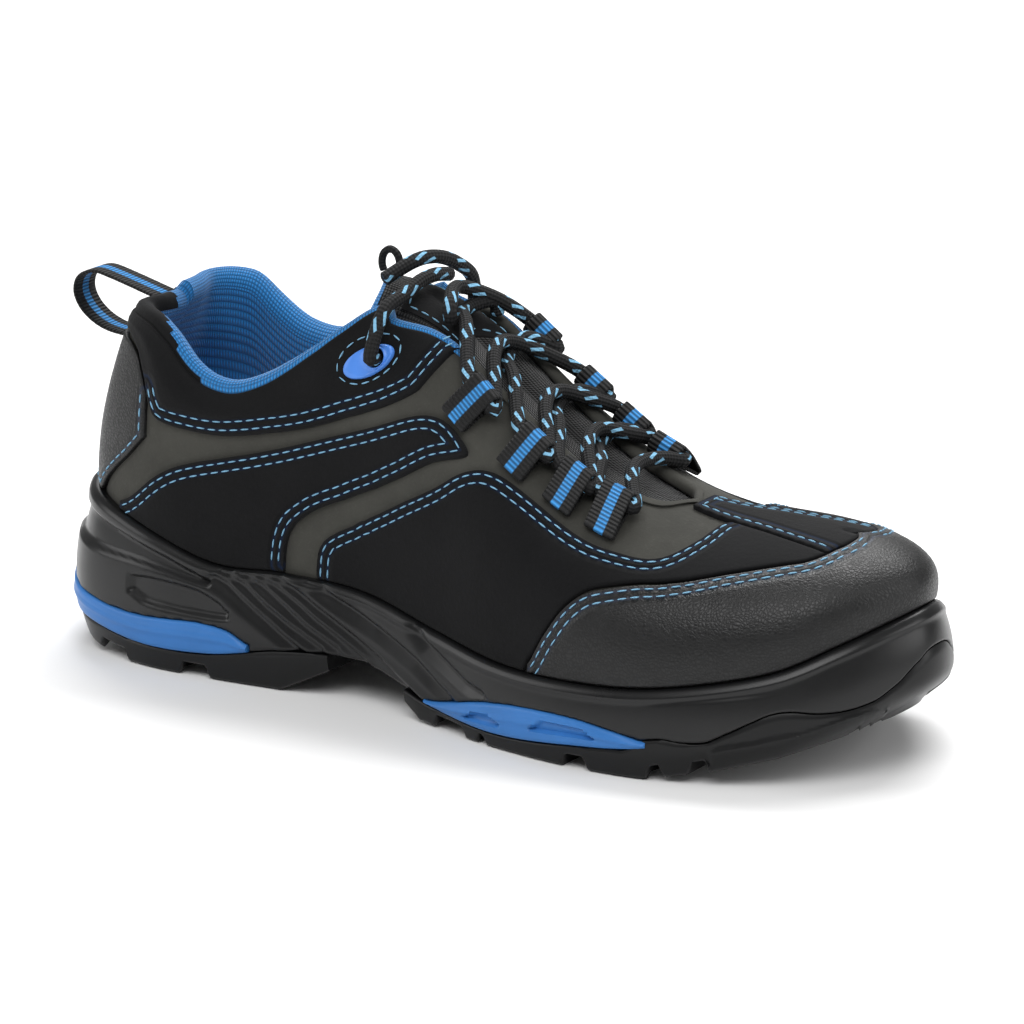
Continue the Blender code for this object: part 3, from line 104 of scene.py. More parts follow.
LAST_SECTIONS = (
    (0.165, 0.00, 1.37, 3.20, 0.92, 0.0),
    (0.165, 0.00, 1.37, 2.80, 0.92, 0.0),
    (0.168, 0.00, 1.37, 1.40, 0.92, 0.0),
    (0.180, 0.00, 1.365, 0.60, 0.90, 0.5),
    (0.200, 0.00, 1.345, 0.50, 0.85, -1.0),
    (0.250, 0.00, 1.305, 0.60, 0.82, -1.0),
    (0.325, 0.01, 1.195, 0.80, 0.78, 0.0),
    (0.404, 0.02, 1.120, 1.00, 0.72, 0.0),
    (0.500, 0.02, 0.915, 1.15, 0.68, 0.5),
    (0.595, 0.03, 0.732, 1.20, 0.72, 1.0),
    (0.705, 0.04, 0.632, 1.15, 0.76, 1.0),
    (0.790, 0.07, 0.610, 1.10, 0.70, 1.0),
    (0.838, 0.09, 0.603, 1.10, 0.62, 1.0),
    (0.860, 0.10, 0.600, 1.15, 0.60, 1.0),
    (0.866, 0.10, 0.598, 1.20, 0.60, 1.0),
)
GROUND_LINE = (
    (0.000, 0.26, 0.00), (0.035, 0.10, 0.00), (0.085, 0.00, 0.00), (0.285, 0.00, 0.00),
    (0.325, 0.00, 0.42), (0.365, 0.00, 0.86), (0.405, 0.00, 0.98), (0.440, 0.00, 0.42),
    (0.465, 0.00, 0.06), (0.500, 0.00, 0.00), (0.745, 0.00, 0.00), (0.800, 0.13, 0.00),
    (0.870, 0.35, 0.00), (0.940, 0.65, 0.00), (0.970, 0.83, 0.00), (1.000, 1.00, 0.00),
)
COLLAR_LINE = (
    (0.030, 1.000, 1.000), (0.080, 1.005, 1.030), (0.120, 0.995, 1.020), (0.145, 0.955, 0.960),
    (0.170, 0.885, 0.915), (0.192, 0.850, 0.893), (0.220, 0.840, 0.885), (0.250, 0.865, 0.900),
    (0.280, 0.912, 0.935), (0.317, 0.985, 0.995), (0.345, 1.045, 1.050), (0.370, 1.095, 1.095),
    (0.390, 1.110, 1.110), (0.410, 1.115, 1.115), (0.430, 1.300, 1.300),
)
THROAT_LINE = (
    (0.385, 1.120), (0.405, 1.130), (0.440, 1.070), (0.475, 0.990), (0.550, 0.920),
    (0.620, 0.860), (0.665, 0.740), (0.688, 0.560), (0.705, 0.000),
)
LAST_STATION = len(SOLE_SECTIONS) - 1
LOOP = 2 * LAST_STATION


def catmull(before, start, end, after, share):
    """One value of a Catmull-Rom curve between start and end."""
    slope_a = (end - before) / 2
    slope_b = (after - start) / 2
    rise = end - start
    a = slope_a + slope_b - 2 * rise
    b = 3 * rise - 2 * slope_a - slope_b
    return ((a * share + b) * share + slope_a) * share + start


def sole_loop():
    """The sections as a closed loop: outer side from heel to toe, then the inner side back."""
    rows = []
    for k in range(LOOP):
        lateral = k <= LAST_STATION
        station = k if lateral else LOOP - k
        sole = dict(zip(SOLE_COLUMNS, SOLE_SECTIONS[station]))
        last = dict(zip(LAST_COLUMNS, LAST_SECTIONS[station]))
        ball_share = min(max((sole["along"] - 0.3) / 0.3, 0.0), 1.0)
        ball_share = ball_share * ball_share * (3 - 2 * ball_share)
        half = (HEEL_WIDTH + (BALL_WIDTH - HEEL_WIDTH) * ball_share) / 2
        side = -sole["lateral"] if lateral else sole["medial"]
        rows.append(
            (
                sole["along"] * SOLE_LENGTH - HEEL_TO_ORIGIN,
                side * half,
                sole["rim"] * HEEL_CUP_HEIGHT,
                sole["interface"] * HEEL_CUP_HEIGHT,
                sole["core"] * HEEL_CUP_HEIGHT,
                sole["footbed"] * HEEL_CUP_HEIGHT,
                sole["flare"] * MM,
                sole["tuck"] * MM,
                last["ridge_along"] * SOLE_LENGTH - HEEL_TO_ORIGIN,
                last["ridge_side"] * BALL_WIDTH / 2,
                last["ridge_height"] * INSTEP_HEIGHT,
                last["side_round"],
                last["top_round"],
                last["swell"] * MM,
            )
        )
    return rows


LOOP_ROWS = sole_loop()
FIELDS = (
    "x", "y", "rim", "interface", "core", "footbed", "flare", "tuck",
    "ridge_x", "ridge_y", "ridge_z", "side_round", "top_round", "swell",
)


@lru_cache(maxsize=None)
def section(position):
    """All the values of the section at a loop position, by name."""
    first = math.floor(position)
    near = [LOOP_ROWS[(first + k) % LOOP] for k in (-1, 0, 1, 2)]
    share = position - first
    return {name: catmull(*(row[i] for row in near), share) for i, name in enumerate(FIELDS)}


def side_of(position):
    """Which side of the foot a position is on: -1 outside, 1 inside."""
    return -1 if position % LOOP <= LAST_STATION else 1


def station_of(position):
    """The section's number at a position, from 0 at the heel."""
    position = position % LOOP
    return position if position <= LAST_STATION else LOOP - position


def loop_position(station, side):
    """The loop position of a station on one side."""
    return station if side < 0 else LOOP - station


@lru_cache(maxsize=None)
def outward(position):
    """Outward direction of the outline in plan."""
    step = 0.02
    a, b = section(position - step), section(position + step)
    along = Vector((b["x"] - a["x"], b["y"] - a["y"]))
    along.normalize()
    return Vector((along.y, -along.x))


def table_value(table, key, column=1):
    """Straight-line value of a table's column at key."""
    if key <= table[0][0]:
        return table[0][column]
    for a, b in zip(table, table[1:]):
        if key <= b[0]:
            return a[column] + (b[column] - a[column]) * (key - a[0]) / (b[0] - a[0])
    return table[-1][column]


def smooth_value(table, key, column=1):
    """Smooth value of a table's column at key, with the first and last rows held."""
    keys = [row[0] for row in table]
    if key <= keys[0]:
        return table[0][column]
    if key >= keys[-1]:
        return table[-1][column]
    i = max(k for k in range(len(keys) - 1) if keys[k] <= key)
    values = [table[min(max(i + k, 0), len(table) - 1)][column] for k in (-1, 0, 1, 2)]
    return catmull(*values, (key - keys[i]) / (keys[i + 1] - keys[i]))


def ground(x):
    """Height of the tread's lowest face at x."""
    share = (x + HEEL_TO_ORIGIN) / SOLE_LENGTH
    spring = table_value(GROUND_LINE, share, 1)
    arch = table_value(GROUND_LINE, share, 2)
    return spring * TOE_SPRING + arch * ARCH_HEIGHT


def sole_edge(position, inset, z):
    """A point inset from the sole's rim in plan, at height z."""
    row = section(position)
    out = outward(position)
    return Vector((row["x"] - out.x * inset, row["y"] - out.y * inset, z))


def sole_wall(position, z, out=0.0):
    """A point of the sole's side face at height z, moved outwards by out."""
    row = section(position)
    low = ground(row["x"])
    share = min(max((z - low) / (row["rim"] - low), 0.0), 1.0)
    above = max(share - FLARE_HEIGHT, 0.0) / (1 - FLARE_HEIGHT)
    below = max(FLARE_HEIGHT - share, 0.0) / FLARE_HEIGHT
    stands = row["flare"] * (1 - above * above) - row["tuck"] * below * below
    return sole_edge(position, -stands - out, z)


def last_point(position, girth, lift=0.0):
    """A point of the last's skin: girth 0 at the sole's rim, 1 on the ridge; lift is outwards.

    Below the rim girth runs to -1 at the footbed, straight down inside the sole's cup.
    """
    row = section(position)
    out = outward(position)
    foot = RIM_THICKNESS + GAP - lift
    base_x, base_y = row["x"] - out.x * foot, row["y"] - out.y * foot
    rim = row["rim"]
    if girth <= 0:
        low = row["footbed"] + GAP
        return Vector((base_x, base_y, rim + girth * (rim - low)))
    angle = min(girth, 1.0) ** (1 / row["top_round"]) * math.pi / 2
    inwards = 1 - max(math.cos(angle), 0.0) ** row["side_round"]
    rise = math.sin(angle) ** row["top_round"]
    swell = row["swell"] * math.sin(math.pi * rise) * (1 - inwards)
    x = base_x + (row["ridge_x"] - base_x) * inwards + out.x * swell
    y = base_y + (row["ridge_y"] - base_y) * inwards + out.y * swell
    top = row["ridge_z"] + lift
    return Vector((x, y, rim + (top - rim) * rise))


THROAT_CENTRES = [(row[0], row[1] * BALL_WIDTH / 2) for row in LAST_SECTIONS]


def in_opening(point, side):
    """Whether a point of the skin lies above the collar line or between the eyestays."""
    share = (point.x + HEEL_TO_ORIGIN) / SOLE_LENGTH
    collar = smooth_value(COLLAR_LINE, share, 1 if side < 0 else 2) * COLLAR_HEIGHT
    if share < COLLAR_LINE[-1][0] and point.z > collar:
        return True
    if not THROAT_LINE[0][0] < share < THROAT_LINE[-1][0]:
        return False
    half = smooth_value(THROAT_LINE, share) * THROAT_HALF_WIDTH
    if side > 0:
        half *= THROAT_INNER_SHARE
    return abs(point.y - table_value(THROAT_CENTRES, share)) < half


@lru_cache(maxsize=None)
def free_edge(position):
    """The girth of the upper's free edge: at its collar or throat, or 1 where it is closed."""
    side = side_of(position)
    steps = 60
    for k in range(1, steps + 1):
        if in_opening(last_point(position, k / steps - 1e-6), side):
            low, high = (k - 1) / steps, k / steps
            for _ in range(20):
                middle = (low + high) / 2
                if in_opening(last_point(position, middle), side):
                    high = middle
                else:
                    low = middle
            return low
    return 1.0


@lru_cache(maxsize=None)
def girth_at_height(position, height):
    """The girth at which the skin reaches a height."""
    row = section(position)
    share = (height - row["rim"]) / (row["ridge_z"] - row["rim"])
    share = min(max(share, 0.0), 1.0)
    angle = math.asin(share ** (1 / row["top_round"]))
    return (angle * 2 / math.pi) ** row["top_round"]


@lru_cache(maxsize=None)
def girth_at_half(position, half):
    """The girth at which the skin is that far to the side of the ridge."""
    low, high = 0.0, 1.0
    ridge = section(position)["ridge_y"]
    for _ in range(30):
        middle = (low + high) / 2
        if abs(last_point(position, middle).y - ridge) > half:
            low = middle
        else:
            high = middle
    return low


@lru_cache(maxsize=None)
def skin_frame(position, girth):
    """A point of the skin; directions towards the toe, up the side and outwards; and the skin's
    own steps for a station and for a girth of 1."""
    point = last_point(position, girth)
    side = side_of(position)
    ahead = -side * 0.03
    step = (last_point(position + ahead, girth) - last_point(position - ahead, girth)) / 0.06
    climb = (last_point(position, girth + 0.01) - last_point(position, girth - 0.01)) / 0.02
    along = step.normalized()
    up = (climb - along * climb.dot(along)).normalized()
    return point, along, up, along.cross(up) * -side, step, climb


def step_on_skin(position, girth, ahead, rise):
    """The loop position and girth that lie ahead and rise metres further along the skin."""
    _, along, up, _, step, climb = skin_frame(position, girth)
    girths = rise / climb.dot(up)
    stations = (ahead - girths * climb.dot(along)) / step.dot(along)
    return position - side_of(position) * stations, girth + girths


def skin_place(position, girth, ahead=0.0, rise=0.0, lift=0.0):
    """A point off the skin, from a place on it: metres ahead, up the side, and outwards."""
    out = skin_frame(position, girth)[3]
    if ahead or rise:
        position, girth = step_on_skin(position, girth, ahead, rise)
    return last_point(position, girth) + out * lift


def smooth_path(points, steps):
    """A smooth curve through points, with steps spans between each two of them."""
    made = []
    for i in range(len(points) - 1):
        near = [Vector(points[min(max(i + k, 0), len(points) - 1)]) for k in (-1, 0, 1, 2)]
        for k in range(steps):
            made.append(catmull(*near, k / steps))
    made.append(Vector(points[-1]))
    return made


def running_lengths(points):
    """Length along a line at each of its points."""
    lengths = [0.0]
    for a, b in zip(points, points[1:]):
        lengths.append(lengths[-1] + (b - a).length)
    return lengths


def spaced(lengths, count):
    """Places that split a line evenly in count: the span each is on and its share along it."""
    made, i = [], 0
    for k in range(count + 1):
        at = lengths[-1] * k / count
        while i < len(lengths) - 2 and lengths[i + 1] < at:
            i += 1
        span = max(lengths[i + 1] - lengths[i], 1e-9)
        made.append((i, min(max((at - lengths[i]) / span, 0.0), 1.0)))
    return made


def even_path(points, spacing):
    """The same line with its points about spacing apart."""
    lengths = running_lengths(points)
    places = spaced(lengths, max(round(lengths[-1] / spacing), 1))
    return [points[i].lerp(points[i + 1], share) for i, share in places]


def even_positions(start, end, spacing, girth=0.3):
    """Loop positions from start to end, about spacing apart on the skin at that girth."""
    fine = [start + (end - start) * k / 600 for k in range(601)]
    lengths = running_lengths([last_point(position, girth) for position in fine])
    places = spaced(lengths, max(round(lengths[-1] / spacing), 2))
    return [round(fine[i] + (fine[i + 1] - fine[i]) * share, 5) for i, share in places]


# The rest of the part's own sizes and tables.
OVERLAY = 1.2 * MM
CAP_OVERLAY = 1.5 * MM
OVERLAY_GAP = 0.75 * MM
INSERT_PROUD = 0.7 * MM
POD_DEPTH = 1.4 * MM
WEBBING_WIDTH = 12 * MM
WEBBING_THICKNESS = 1.1 * MM
LACE_DIAMETER = 4.4 * MM
EYELET_LENGTH = 18 * MM
EYELET_WIDTH = 10.5 * MM
EYELET_HOLE = 6.0 * MM
EYELET_THICKNESS = 1.6 * MM
PULL_LOOP_WIDTH = 11 * MM
STRIPE_HALF = 1.6 * MM
BRAID_PITCH = 2.3 * MM
FLECK_PITCH = 8.5 * MM
FLECK_GROUP = 15 * MM
TONGUE_CORD = 2.4 * MM
PANEL_SEAM = 0.012
PANEL_LEAST = 0.004
PANEL_BACK = 0.1 * MM
FAR_FROM_SEAM = 3.1 * MM
STRIP_HALF_BACK = 6 * MM
STRIP_HALF_FRONT = 15 * MM
STRIP_BEHIND_THROAT = 1.5 * MM
STRIP_CLEAR = 0.9 * MM
TONGUE_STATIONS = (6.15, 9.75)
TONGUE_SWEEP = 0.5
COLLAR_PANEL_INNER_END = 6.7
COLLAR_PANEL_LOW = (
    (0.00, 0.355), (2.35, 0.360), (2.65, 0.345), (2.85, 0.300), (3.00, 0.240), (3.15, 0.226),
    (3.60, 0.235), (4.10, 0.250), (4.60, 0.268), (5.00, 0.290), (5.40, 0.330), (5.90, 0.400),
    (6.30, 0.464), (6.70, 0.542), (7.00, 0.650), (7.30, 0.770),
)
COUNTER_LOW = ((0.0, 0.0), (1.8, 0.0), (2.0, 0.03), (2.3, 0.075), (2.6, 0.122), (2.9, 0.178))
SIDE_PANEL = (
    (2.42, 0.000, 0.004), (2.75, 0.000, 0.058), (3.20, 0.000, 0.128), (3.70, 0.000, 0.180),
    (4.20, 0.000, 0.213), (4.75, 0.000, 0.235), (4.95, 0.000, 0.252), (5.03, 0.105, 0.258),
    (5.30, 0.138, 0.285), (5.70, 0.185, 0.332), (6.13, 0.247, 0.390), (6.50, 0.310, 0.445),
    (6.90, 0.386, 0.502), (7.15, 0.428, 0.524), (7.35, 0.456, 0.532), (7.44, 0.468, 0.532),
)
QUARTER_TOP = (
    (5.40, 0.030), (5.57, 0.086), (5.80, 0.127), (6.00, 0.166), (6.50, 0.248), (7.03, 0.343),
    (7.50, 0.459), (7.85, 0.530), (8.08, 0.549), (8.45, 0.557), (9.16, 0.547), (9.45, 0.560),
    (9.72, 0.573), (9.95, 0.615), (10.20, 0.729), (10.40, 0.830), (10.80, 0.785),
    (11.20, 0.755), (11.50, 0.735),
)
CAP_EDGE = (
    (8.40, 0.030), (8.60, 0.130), (8.88, 0.265), (9.15, 0.360), (9.45, 0.417), (9.72, 0.460),
    (10.04, 0.500), (10.56, 0.580), (11.12, 0.648), (11.60, 0.690), (12.15, 0.770),
    (13.00, 0.860), (13.70, 0.920), (14.00, 0.930),
)
HEEL_INSERT_TOP = (
    (0.000, 0.44), (0.006, 0.42), (0.02, 0.38), (0.045, 0.345), (0.08, 0.315), (0.117, 0.305),
    (0.155, 0.315), (0.19, 0.325), (0.225, 0.305), (0.252, 0.24),
)
FOREFOOT_INSERT_TOP = (
    (0.475, 0.150), (0.505, 0.175), (0.545, 0.230), (0.585, 0.268), (0.63, 0.285),
    (0.675, 0.280), (0.715, 0.250), (0.752, 0.215),
)
INSERT_TIP = 1.2 * MM
UPPER_POD = (
    (0.000, 0.675, 0.86), (0.012, 0.66, 0.85), (0.035, 0.635, 0.815), (0.07, 0.62, 0.77),
    (0.11, 0.61, 0.72), (0.15, 0.585, 0.665), (0.185, 0.555, 0.605), (0.205, 0.545, 0.575),
)
LOWER_POD = (
    (0.105, 0.435, 0.525), (0.125, 0.39, 0.535), (0.155, 0.375, 0.53), (0.19, 0.37, 0.51),
    (0.215, 0.37, 0.46), (0.228, 0.375, 0.41),
)
HEEL_GROOVES = ((0.072, -14, 5.0), (0.185, -8, 6.5))
FOREFOOT_GROOVES = (
    (0.505, -12, 6.0), (0.585, -12, 6.0), (0.665, -9, 6.0), (0.765, -5, 6.0), (0.825, 0, 5.0),
    (0.885, 4, 5.0),
)
GROOVE_DEPTH = 3.2 * MM
TREAD_LEAST = 1.5 * MM
HEEL_TREAD_END = 0.345
FOREFOOT_TREAD_START = 0.445
LACE_LOOPS = (
    (7.28, 0.560, 0.715, 0.36), (8.06, 0.585, 0.730, 0.24), (8.66, 0.595, 0.740, 0.15),
    (9.19, 0.600, 0.760, 0.10),
)
MEDIAL_LOOP_SHIFT = (-0.16, 0.06)
LOOP_LIFT = 0.9 * MM
LOOP_TURN = LACE_DIAMETER / 2 + 0.5 * MM + WEBBING_THICKNESS / 2
LOOP_SEAT = 0.80
LACE_REACH_STATIONS = 0.10
EDGE_LIFT = 4.4 * MM
LACE_TOP_STATION = 7.15
EYELET_PLACE = (6.08, 0.556)
EYELET_TURN = 48
EYELET_OFFSET = (EYELET_LENGTH - EYELET_WIDTH) / 2 * 0.75
EYELET_LIFT = OVERLAY_GAP + OVERLAY + 1.5 * GAP
# The lace's two ends, from the eyelet on: along and across the shoe and up, in millimetres.
END_OVER = ((79, -24, 121), (80, -14, 124.5), (80.5, -6, 127), (81, 2, 127.5), (81, 10, 126))
END_UNDER = ((81, 23, 122), (80, 16, 128), (78, 8, 131.5), (75, 0, 131.5), (70, -10, 127.0))


def collar_share(position):
    """How much of the collar's padding there is at a position: all of it round the ankle."""
    x = last_point(position, free_edge(position)).x
    share = (x + HEEL_TO_ORIGIN) / SOLE_LENGTH
    return 1 - min(max((share - 0.33) / 0.06, 0.0), 1.0)


def wall_depth(position, share):
    """Thickness of the upper's wall at a share of the way from the rim to its free edge."""
    near = min(max((share - 0.45) / 0.3, 0.0), 1.0)
    return UPPER_WALL + COLLAR_PADDING * near * collar_share(position)


def tongue_point(station, share, depth):
    """A point of the tongue: share runs from its outer edge, -1, to its inner edge, 1."""
    side = -1 if share < 0 else 1
    free = max(1 - (station - TONGUE_STATIONS[0]) / 1.5, 0.0)
    station -= TONGUE_SWEEP * free * share * share
    position = loop_position(station, side)
    girth = girth_at_half(position, abs(share) * TONGUE_HALF_WIDTH)
    edge = free_edge(position)
    under = min((1 - girth) / max(1 - edge, 1e-3), 1.0)
    wall = wall_depth(position, min(girth / edge, 1.0))
    return last_point(position, girth, -(UPPER_WALL + (wall - UPPER_WALL) * under + depth))


def smoothstep(low, high, value):
    """0 below low and 1 above high, with a soft rise between."""
    share = min(max((value - low) / (high - low), 0.0), 1.0)
    return share * share * (3 - 2 * share)


def rounded(distance, radius):
    """Height, 0 to 1, of a quarter-round edge at a distance in from the edge."""
    share = min(distance / radius, 1.0)
    return math.sqrt(max(1 - (1 - share) ** 2, 0.0))


def fine_ends(values, cuts=(0.15, 0.4, 0.7)):
    """The values with three more between the first two and between the last two."""
    first = [values[0] + (values[1] - values[0]) * c for c in cuts]
    last = [values[-1] + (values[-2] - values[-1]) * c for c in reversed(cuts)]
    return [values[0], *first, *values[1:-1], *last, values[-1]]


def sheet_form(across, up, outer, inner=None, layers=(), uv=None):
    """A grid of faces put down by outer(column, row), with a back put down by inner.

    layers are pairs of a name and a function that gives each vertex a number; uv gives the
    pattern's own place, in metres.
    """
    shape = bmesh.new()
    bmesh.ops.create_grid(shape, x_segments=across, y_segments=up, size=0.5)
    column = shape.verts.layers.int.new("column")
    row = shape.verts.layers.int.new("row")
    for vert in shape.verts:
        vert[column] = round((vert.co.x + 0.5) * across)
        vert[row] = round((vert.co.y + 0.5) * up)
    numbers = [(shape.verts.layers.float.new(name), give) for name, give in layers]
    backs = set()
    if inner:
        made = bmesh.ops.extrude_face_region(shape, geom=shape.faces[:], use_keep_orig=True)
        backs = {v for v in made["geom"] if isinstance(v, bmesh.types.BMVert)}
    for vert in shape.verts:
        put = inner if vert in backs else outer
        vert.co = put(vert[column], vert[row])
        for layer, give in numbers:
            vert[layer] = give(vert[column], vert[row])
    if uv:
        pattern = shape.loops.layers.uv.new("Pattern")
        for face in shape.faces:
            for corner in face.loops:
                corner[pattern].uv = uv(corner.vert[column], corner.vert[row])
    return shape


def weld(shape, distance=2e-6):
    """Closes seams and poles, and turns the faces outwards."""
    bmesh.ops.remove_doubles(shape, verts=shape.verts, dist=distance)
    bmesh.ops.dissolve_degenerate(shape, dist=1e-7, edges=shape.edges)
    bmesh.ops.recalc_face_normals(shape, faces=shape.faces)


def finish_piece(name, shape, surfaces, nodes=(), welded=True):
    """Makes the object of a finished shape, riding on the shoe's one body."""
    if welded:
        weld(shape)
    mesh = bpy.data.meshes.new(name)
    shape.to_mesh(mesh)
    shape.free()
    mesh.shade_smooth()
    mesh.set_sharp_from_angle(angle=math.radians(50))
    for surface in surfaces:
        mesh.materials.append(surface)
    made = bpy.data.objects.new(name, mesh)
    bpy.context.scene.collection.objects.link(made)
    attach(made, "root")
    if nodes:
        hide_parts(*nodes)
    return made


def tube(name, path, radius, sides, surfaces, nodes=(), blunt=0.6):
    """A round cord along a path, with domed ends; its pattern runs along and round it."""
    start = (path[0] - path[1]).normalized() * radius * blunt
    end = (path[-1] - path[-2]).normalized() * radius * blunt
    line = [path[0], path[0], path[0] - start * 0.35, *path[1:-1], path[-1] - end * 0.35]
    line += [path[-1], path[-1]]
    widths = [0.0, 0.72, 1.0] + [1.0] * (len(path) - 2) + [1.0, 0.72, 0.0]
    frames = []
    side = None
    for i in range(len(line)):
        ahead = line[min(i + 2, len(line) - 1)] - line[max(i - 2, 0)]
        ahead.normalize()
        if side is None:
            side = ahead.orthogonal().normalized()
        side = (side - ahead * side.dot(ahead)).normalized()
        frames.append((side.copy(), ahead.cross(side)))
    lengths = running_lengths(line)

    def outer(i, j):
        angle = 2 * math.pi * (j % sides) / sides
        across, over = frames[i]
        return line[i] + (across * math.cos(angle) + over * math.sin(angle)) * radius * widths[i]

    shape = sheet_form(
        len(line) - 1, sides, outer, uv=lambda i, j: (lengths[i], j / sides * 2 * math.pi * radius)
    )
    return finish_piece(name, shape, surfaces, nodes)


def strap(name, path, across, thickness, surfaces, nodes=(), closed=True, rows=8):
    """A flat band: its middle follows path, and across is its half width at each point."""
    count = len(path) - 1
    faces = []
    for i in range(len(path)):
        before = path[i - 1] if i else (path[-2] if closed else path[0])
        after = path[i + 1] if i < count else (path[1] if closed else path[-1])
        faces.append((after - before).normalized().cross(across[i]).normalized())
    lengths = running_lengths(path)
    width = across[0].length * 2
    shares = fine_ends([k / rows for k in range(rows + 1)])

    def put(sign):
        def place(i, j):
            edge = min(shares[j], 1 - shares[j]) * width
            stand = thickness / 2 * (0.3 + 0.7 * rounded(edge, thickness * 0.6))
            return path[i] + across[i] * (2 * shares[j] - 1) + faces[i] * stand * sign
        return place

    shape = sheet_form(
        count, len(shares) - 1, put(1), put(-1),
        uv=lambda i, j: (lengths[i], (shares[j] - 0.5) * width),
    )
    if closed:
        weld(shape)
        inside = [f for f in shape.faces if all(len(e.link_faces) > 2 for e in f.edges)]
        bmesh.ops.delete(shape, geom=inside, context="FACES_ONLY")
    return finish_piece(name, shape, surfaces, nodes)


class SneakerSizes(bpy.types.PropertyGroup):
    """Sizes of the visible finish."""

    spacing: FloatProperty(
        name="Mesh spacing", description="Length of a face along the upper", default=2.0 * MM,
        unit="LENGTH",
    )
    stitch_length: FloatProperty(
        name="Stitch length", description="Length of one stitch", default=2.9 * MM, unit="LENGTH"
    )
    stitch_gap: FloatProperty(
        name="Stitch gap", description="Gap between two stitches", default=1.0 * MM, unit="LENGTH"
    )
    stitch_width: FloatProperty(
        name="Stitch width", description="Thickness of the thread", default=0.52 * MM,
        unit="LENGTH",
    )
    seam_first: FloatProperty(
        name="First seam", description="From a panel's edge to its first seam", default=1.6 * MM,
        unit="LENGTH",
    )
    seam_second: FloatProperty(
        name="Second seam", description="From a panel's edge to its second seam",
        default=4.1 * MM, unit="LENGTH",
    )
    edge_round: FloatProperty(
        name="Edge round", description="Radius of a panel's cut edge", default=1.0 * MM,
        unit="LENGTH",
    )
    collar_swell: FloatProperty(
        name="Collar swell", description="How far the collar's padding stands out",
        default=1.3 * MM, unit="LENGTH",
    )
    lace_sides: IntProperty(
        name="Lace sides", description="Faces round the lace", default=14, min=6,
        subtype="UNSIGNED",
    )
    floor_size: FloatProperty(
        name="Floor", description="Width of the floor", default=9.0, unit="LENGTH"
    )
    key_power: FloatProperty(
        name="Key light", description="Power of the large light", default=27.0, unit="POWER"
    )
    room_light: FloatProperty(
        name="Room light", description="Strength of the light from all round", default=0.30,
        min=0, subtype="FACTOR",
    )
    stitched: BoolProperty(name="Stitches", description="Sews the panels", default=True)


def tint(name, description, value):
    """A colour property with a name, a description and its default."""
    return FloatVectorProperty(
        name=name, description=description, default=value, subtype="COLOR", size=3, min=0, max=1
    )


class SneakerColours(bpy.types.PropertyGroup):
    """Colours of the finish."""

    nubuck: tint("Black nubuck", "Panels sewn on the upper", (0.0042, 0.0043, 0.0048))
    base: tint("Grey nubuck", "The upper under its panels", (0.046, 0.0455, 0.040))
    grained: tint("Grained leather", "Toe cap and heel counter", (0.0034, 0.0035, 0.0037))
    lining: tint("Lining", "Knit lining of the collar", (0.020, 0.20, 0.52))
    binding: tint("Binding", "Thin light edge of the collar", (0.12, 0.42, 0.72))
    thread: tint("Thread", "Stitches", (0.20, 0.42, 0.60))
    # Painted shade in the seam grooves, tinted navy.
    groove: tint("Seam groove", "Where the thread pulls in", (0.003, 0.010, 0.030))
    foam: tint("Black foam", "Midsole", (0.0040, 0.0041, 0.0044))
    rubber: tint("Black rubber", "Tread", (0.0038, 0.0039, 0.0042))
    insert: tint("Blue foam", "Inserts of the sole", (0.034, 0.155, 0.43))
    plastic: tint("Blue plastic", "Eyelet plates", (0.070, 0.22, 0.66))
    webbing: tint("Webbing", "Loops that hold the lace", (0.0055, 0.0057, 0.0062))
    stripe: tint("Webbing stripe", "Stripe along the webbing", (0.045, 0.30, 0.72))
    lace: tint("Lace", "Braided cord", (0.0045, 0.0046, 0.0050))
    fleck: tint("Lace fleck", "Light yarn in the cord", (0.20, 0.44, 0.64))
    mesh: tint("Mesh cloth", "Tongue", (0.0060, 0.0061, 0.0066))
    floor: tint("Floor", "Floor of the studio", (0.86, 0.86, 0.86))


def sizes():
    """The scene's own sizes."""
    return bpy.context.scene.sneaker_sizes


def colour(name):
    """One of the scene's own colours, with full alpha."""
    return (*getattr(bpy.context.scene.sneaker_colours, name), 1.0)


def add_node(tree, kind, inputs=None, **settings):
    """A node with its settings and inputs; an input may be a value or another node's output."""
    made = tree.nodes.new(kind)
    for key, value in settings.items():
        setattr(made, key, value)
    for key, value in (inputs or {}).items():
        socket = made.inputs[key]
        if isinstance(value, bpy.types.NodeSocket):
            tree.links.new(value, socket)
        else:
            socket.default_value = value
    return made


def maths(tree, operation, *values):
    """The result of a Math node."""
    made = add_node(tree, "ShaderNodeMath", dict(enumerate(values)), operation=operation)
    return made.outputs[0]


def mixed(tree, factor, a, b):
    """A colour between a and b."""
    made = add_node(tree, "ShaderNodeMix", data_type="RGBA")
    for index, value in ((0, factor), (6, a), (7, b)):
        if isinstance(value, bpy.types.NodeSocket):
            tree.links.new(value, made.inputs[index])
        else:
            made.inputs[index].default_value = value
    return made.outputs[2]


def ranged(tree, value, low, high, start=0.0, end=1.0, interpolation="LINEAR"):
    """A value's range from low to high, mapped to start and end and held outside them."""
    return add_node(tree, "ShaderNodeMapRange", {
        "Value": value, "From Min": low, "From Max": high, "To Min": start, "To Max": end,
    }, interpolation_type=interpolation).outputs[0]


def noise(tree, place, scale, detail=2.0, roughness=0.5, distortion=0.0):
    """Noise at a place: its value, then its colour."""
    return add_node(tree, "ShaderNodeTexNoise", {
        "Vector": place, "Scale": scale, "Detail": detail, "Roughness": roughness,
        "Distortion": distortion,
    }).outputs


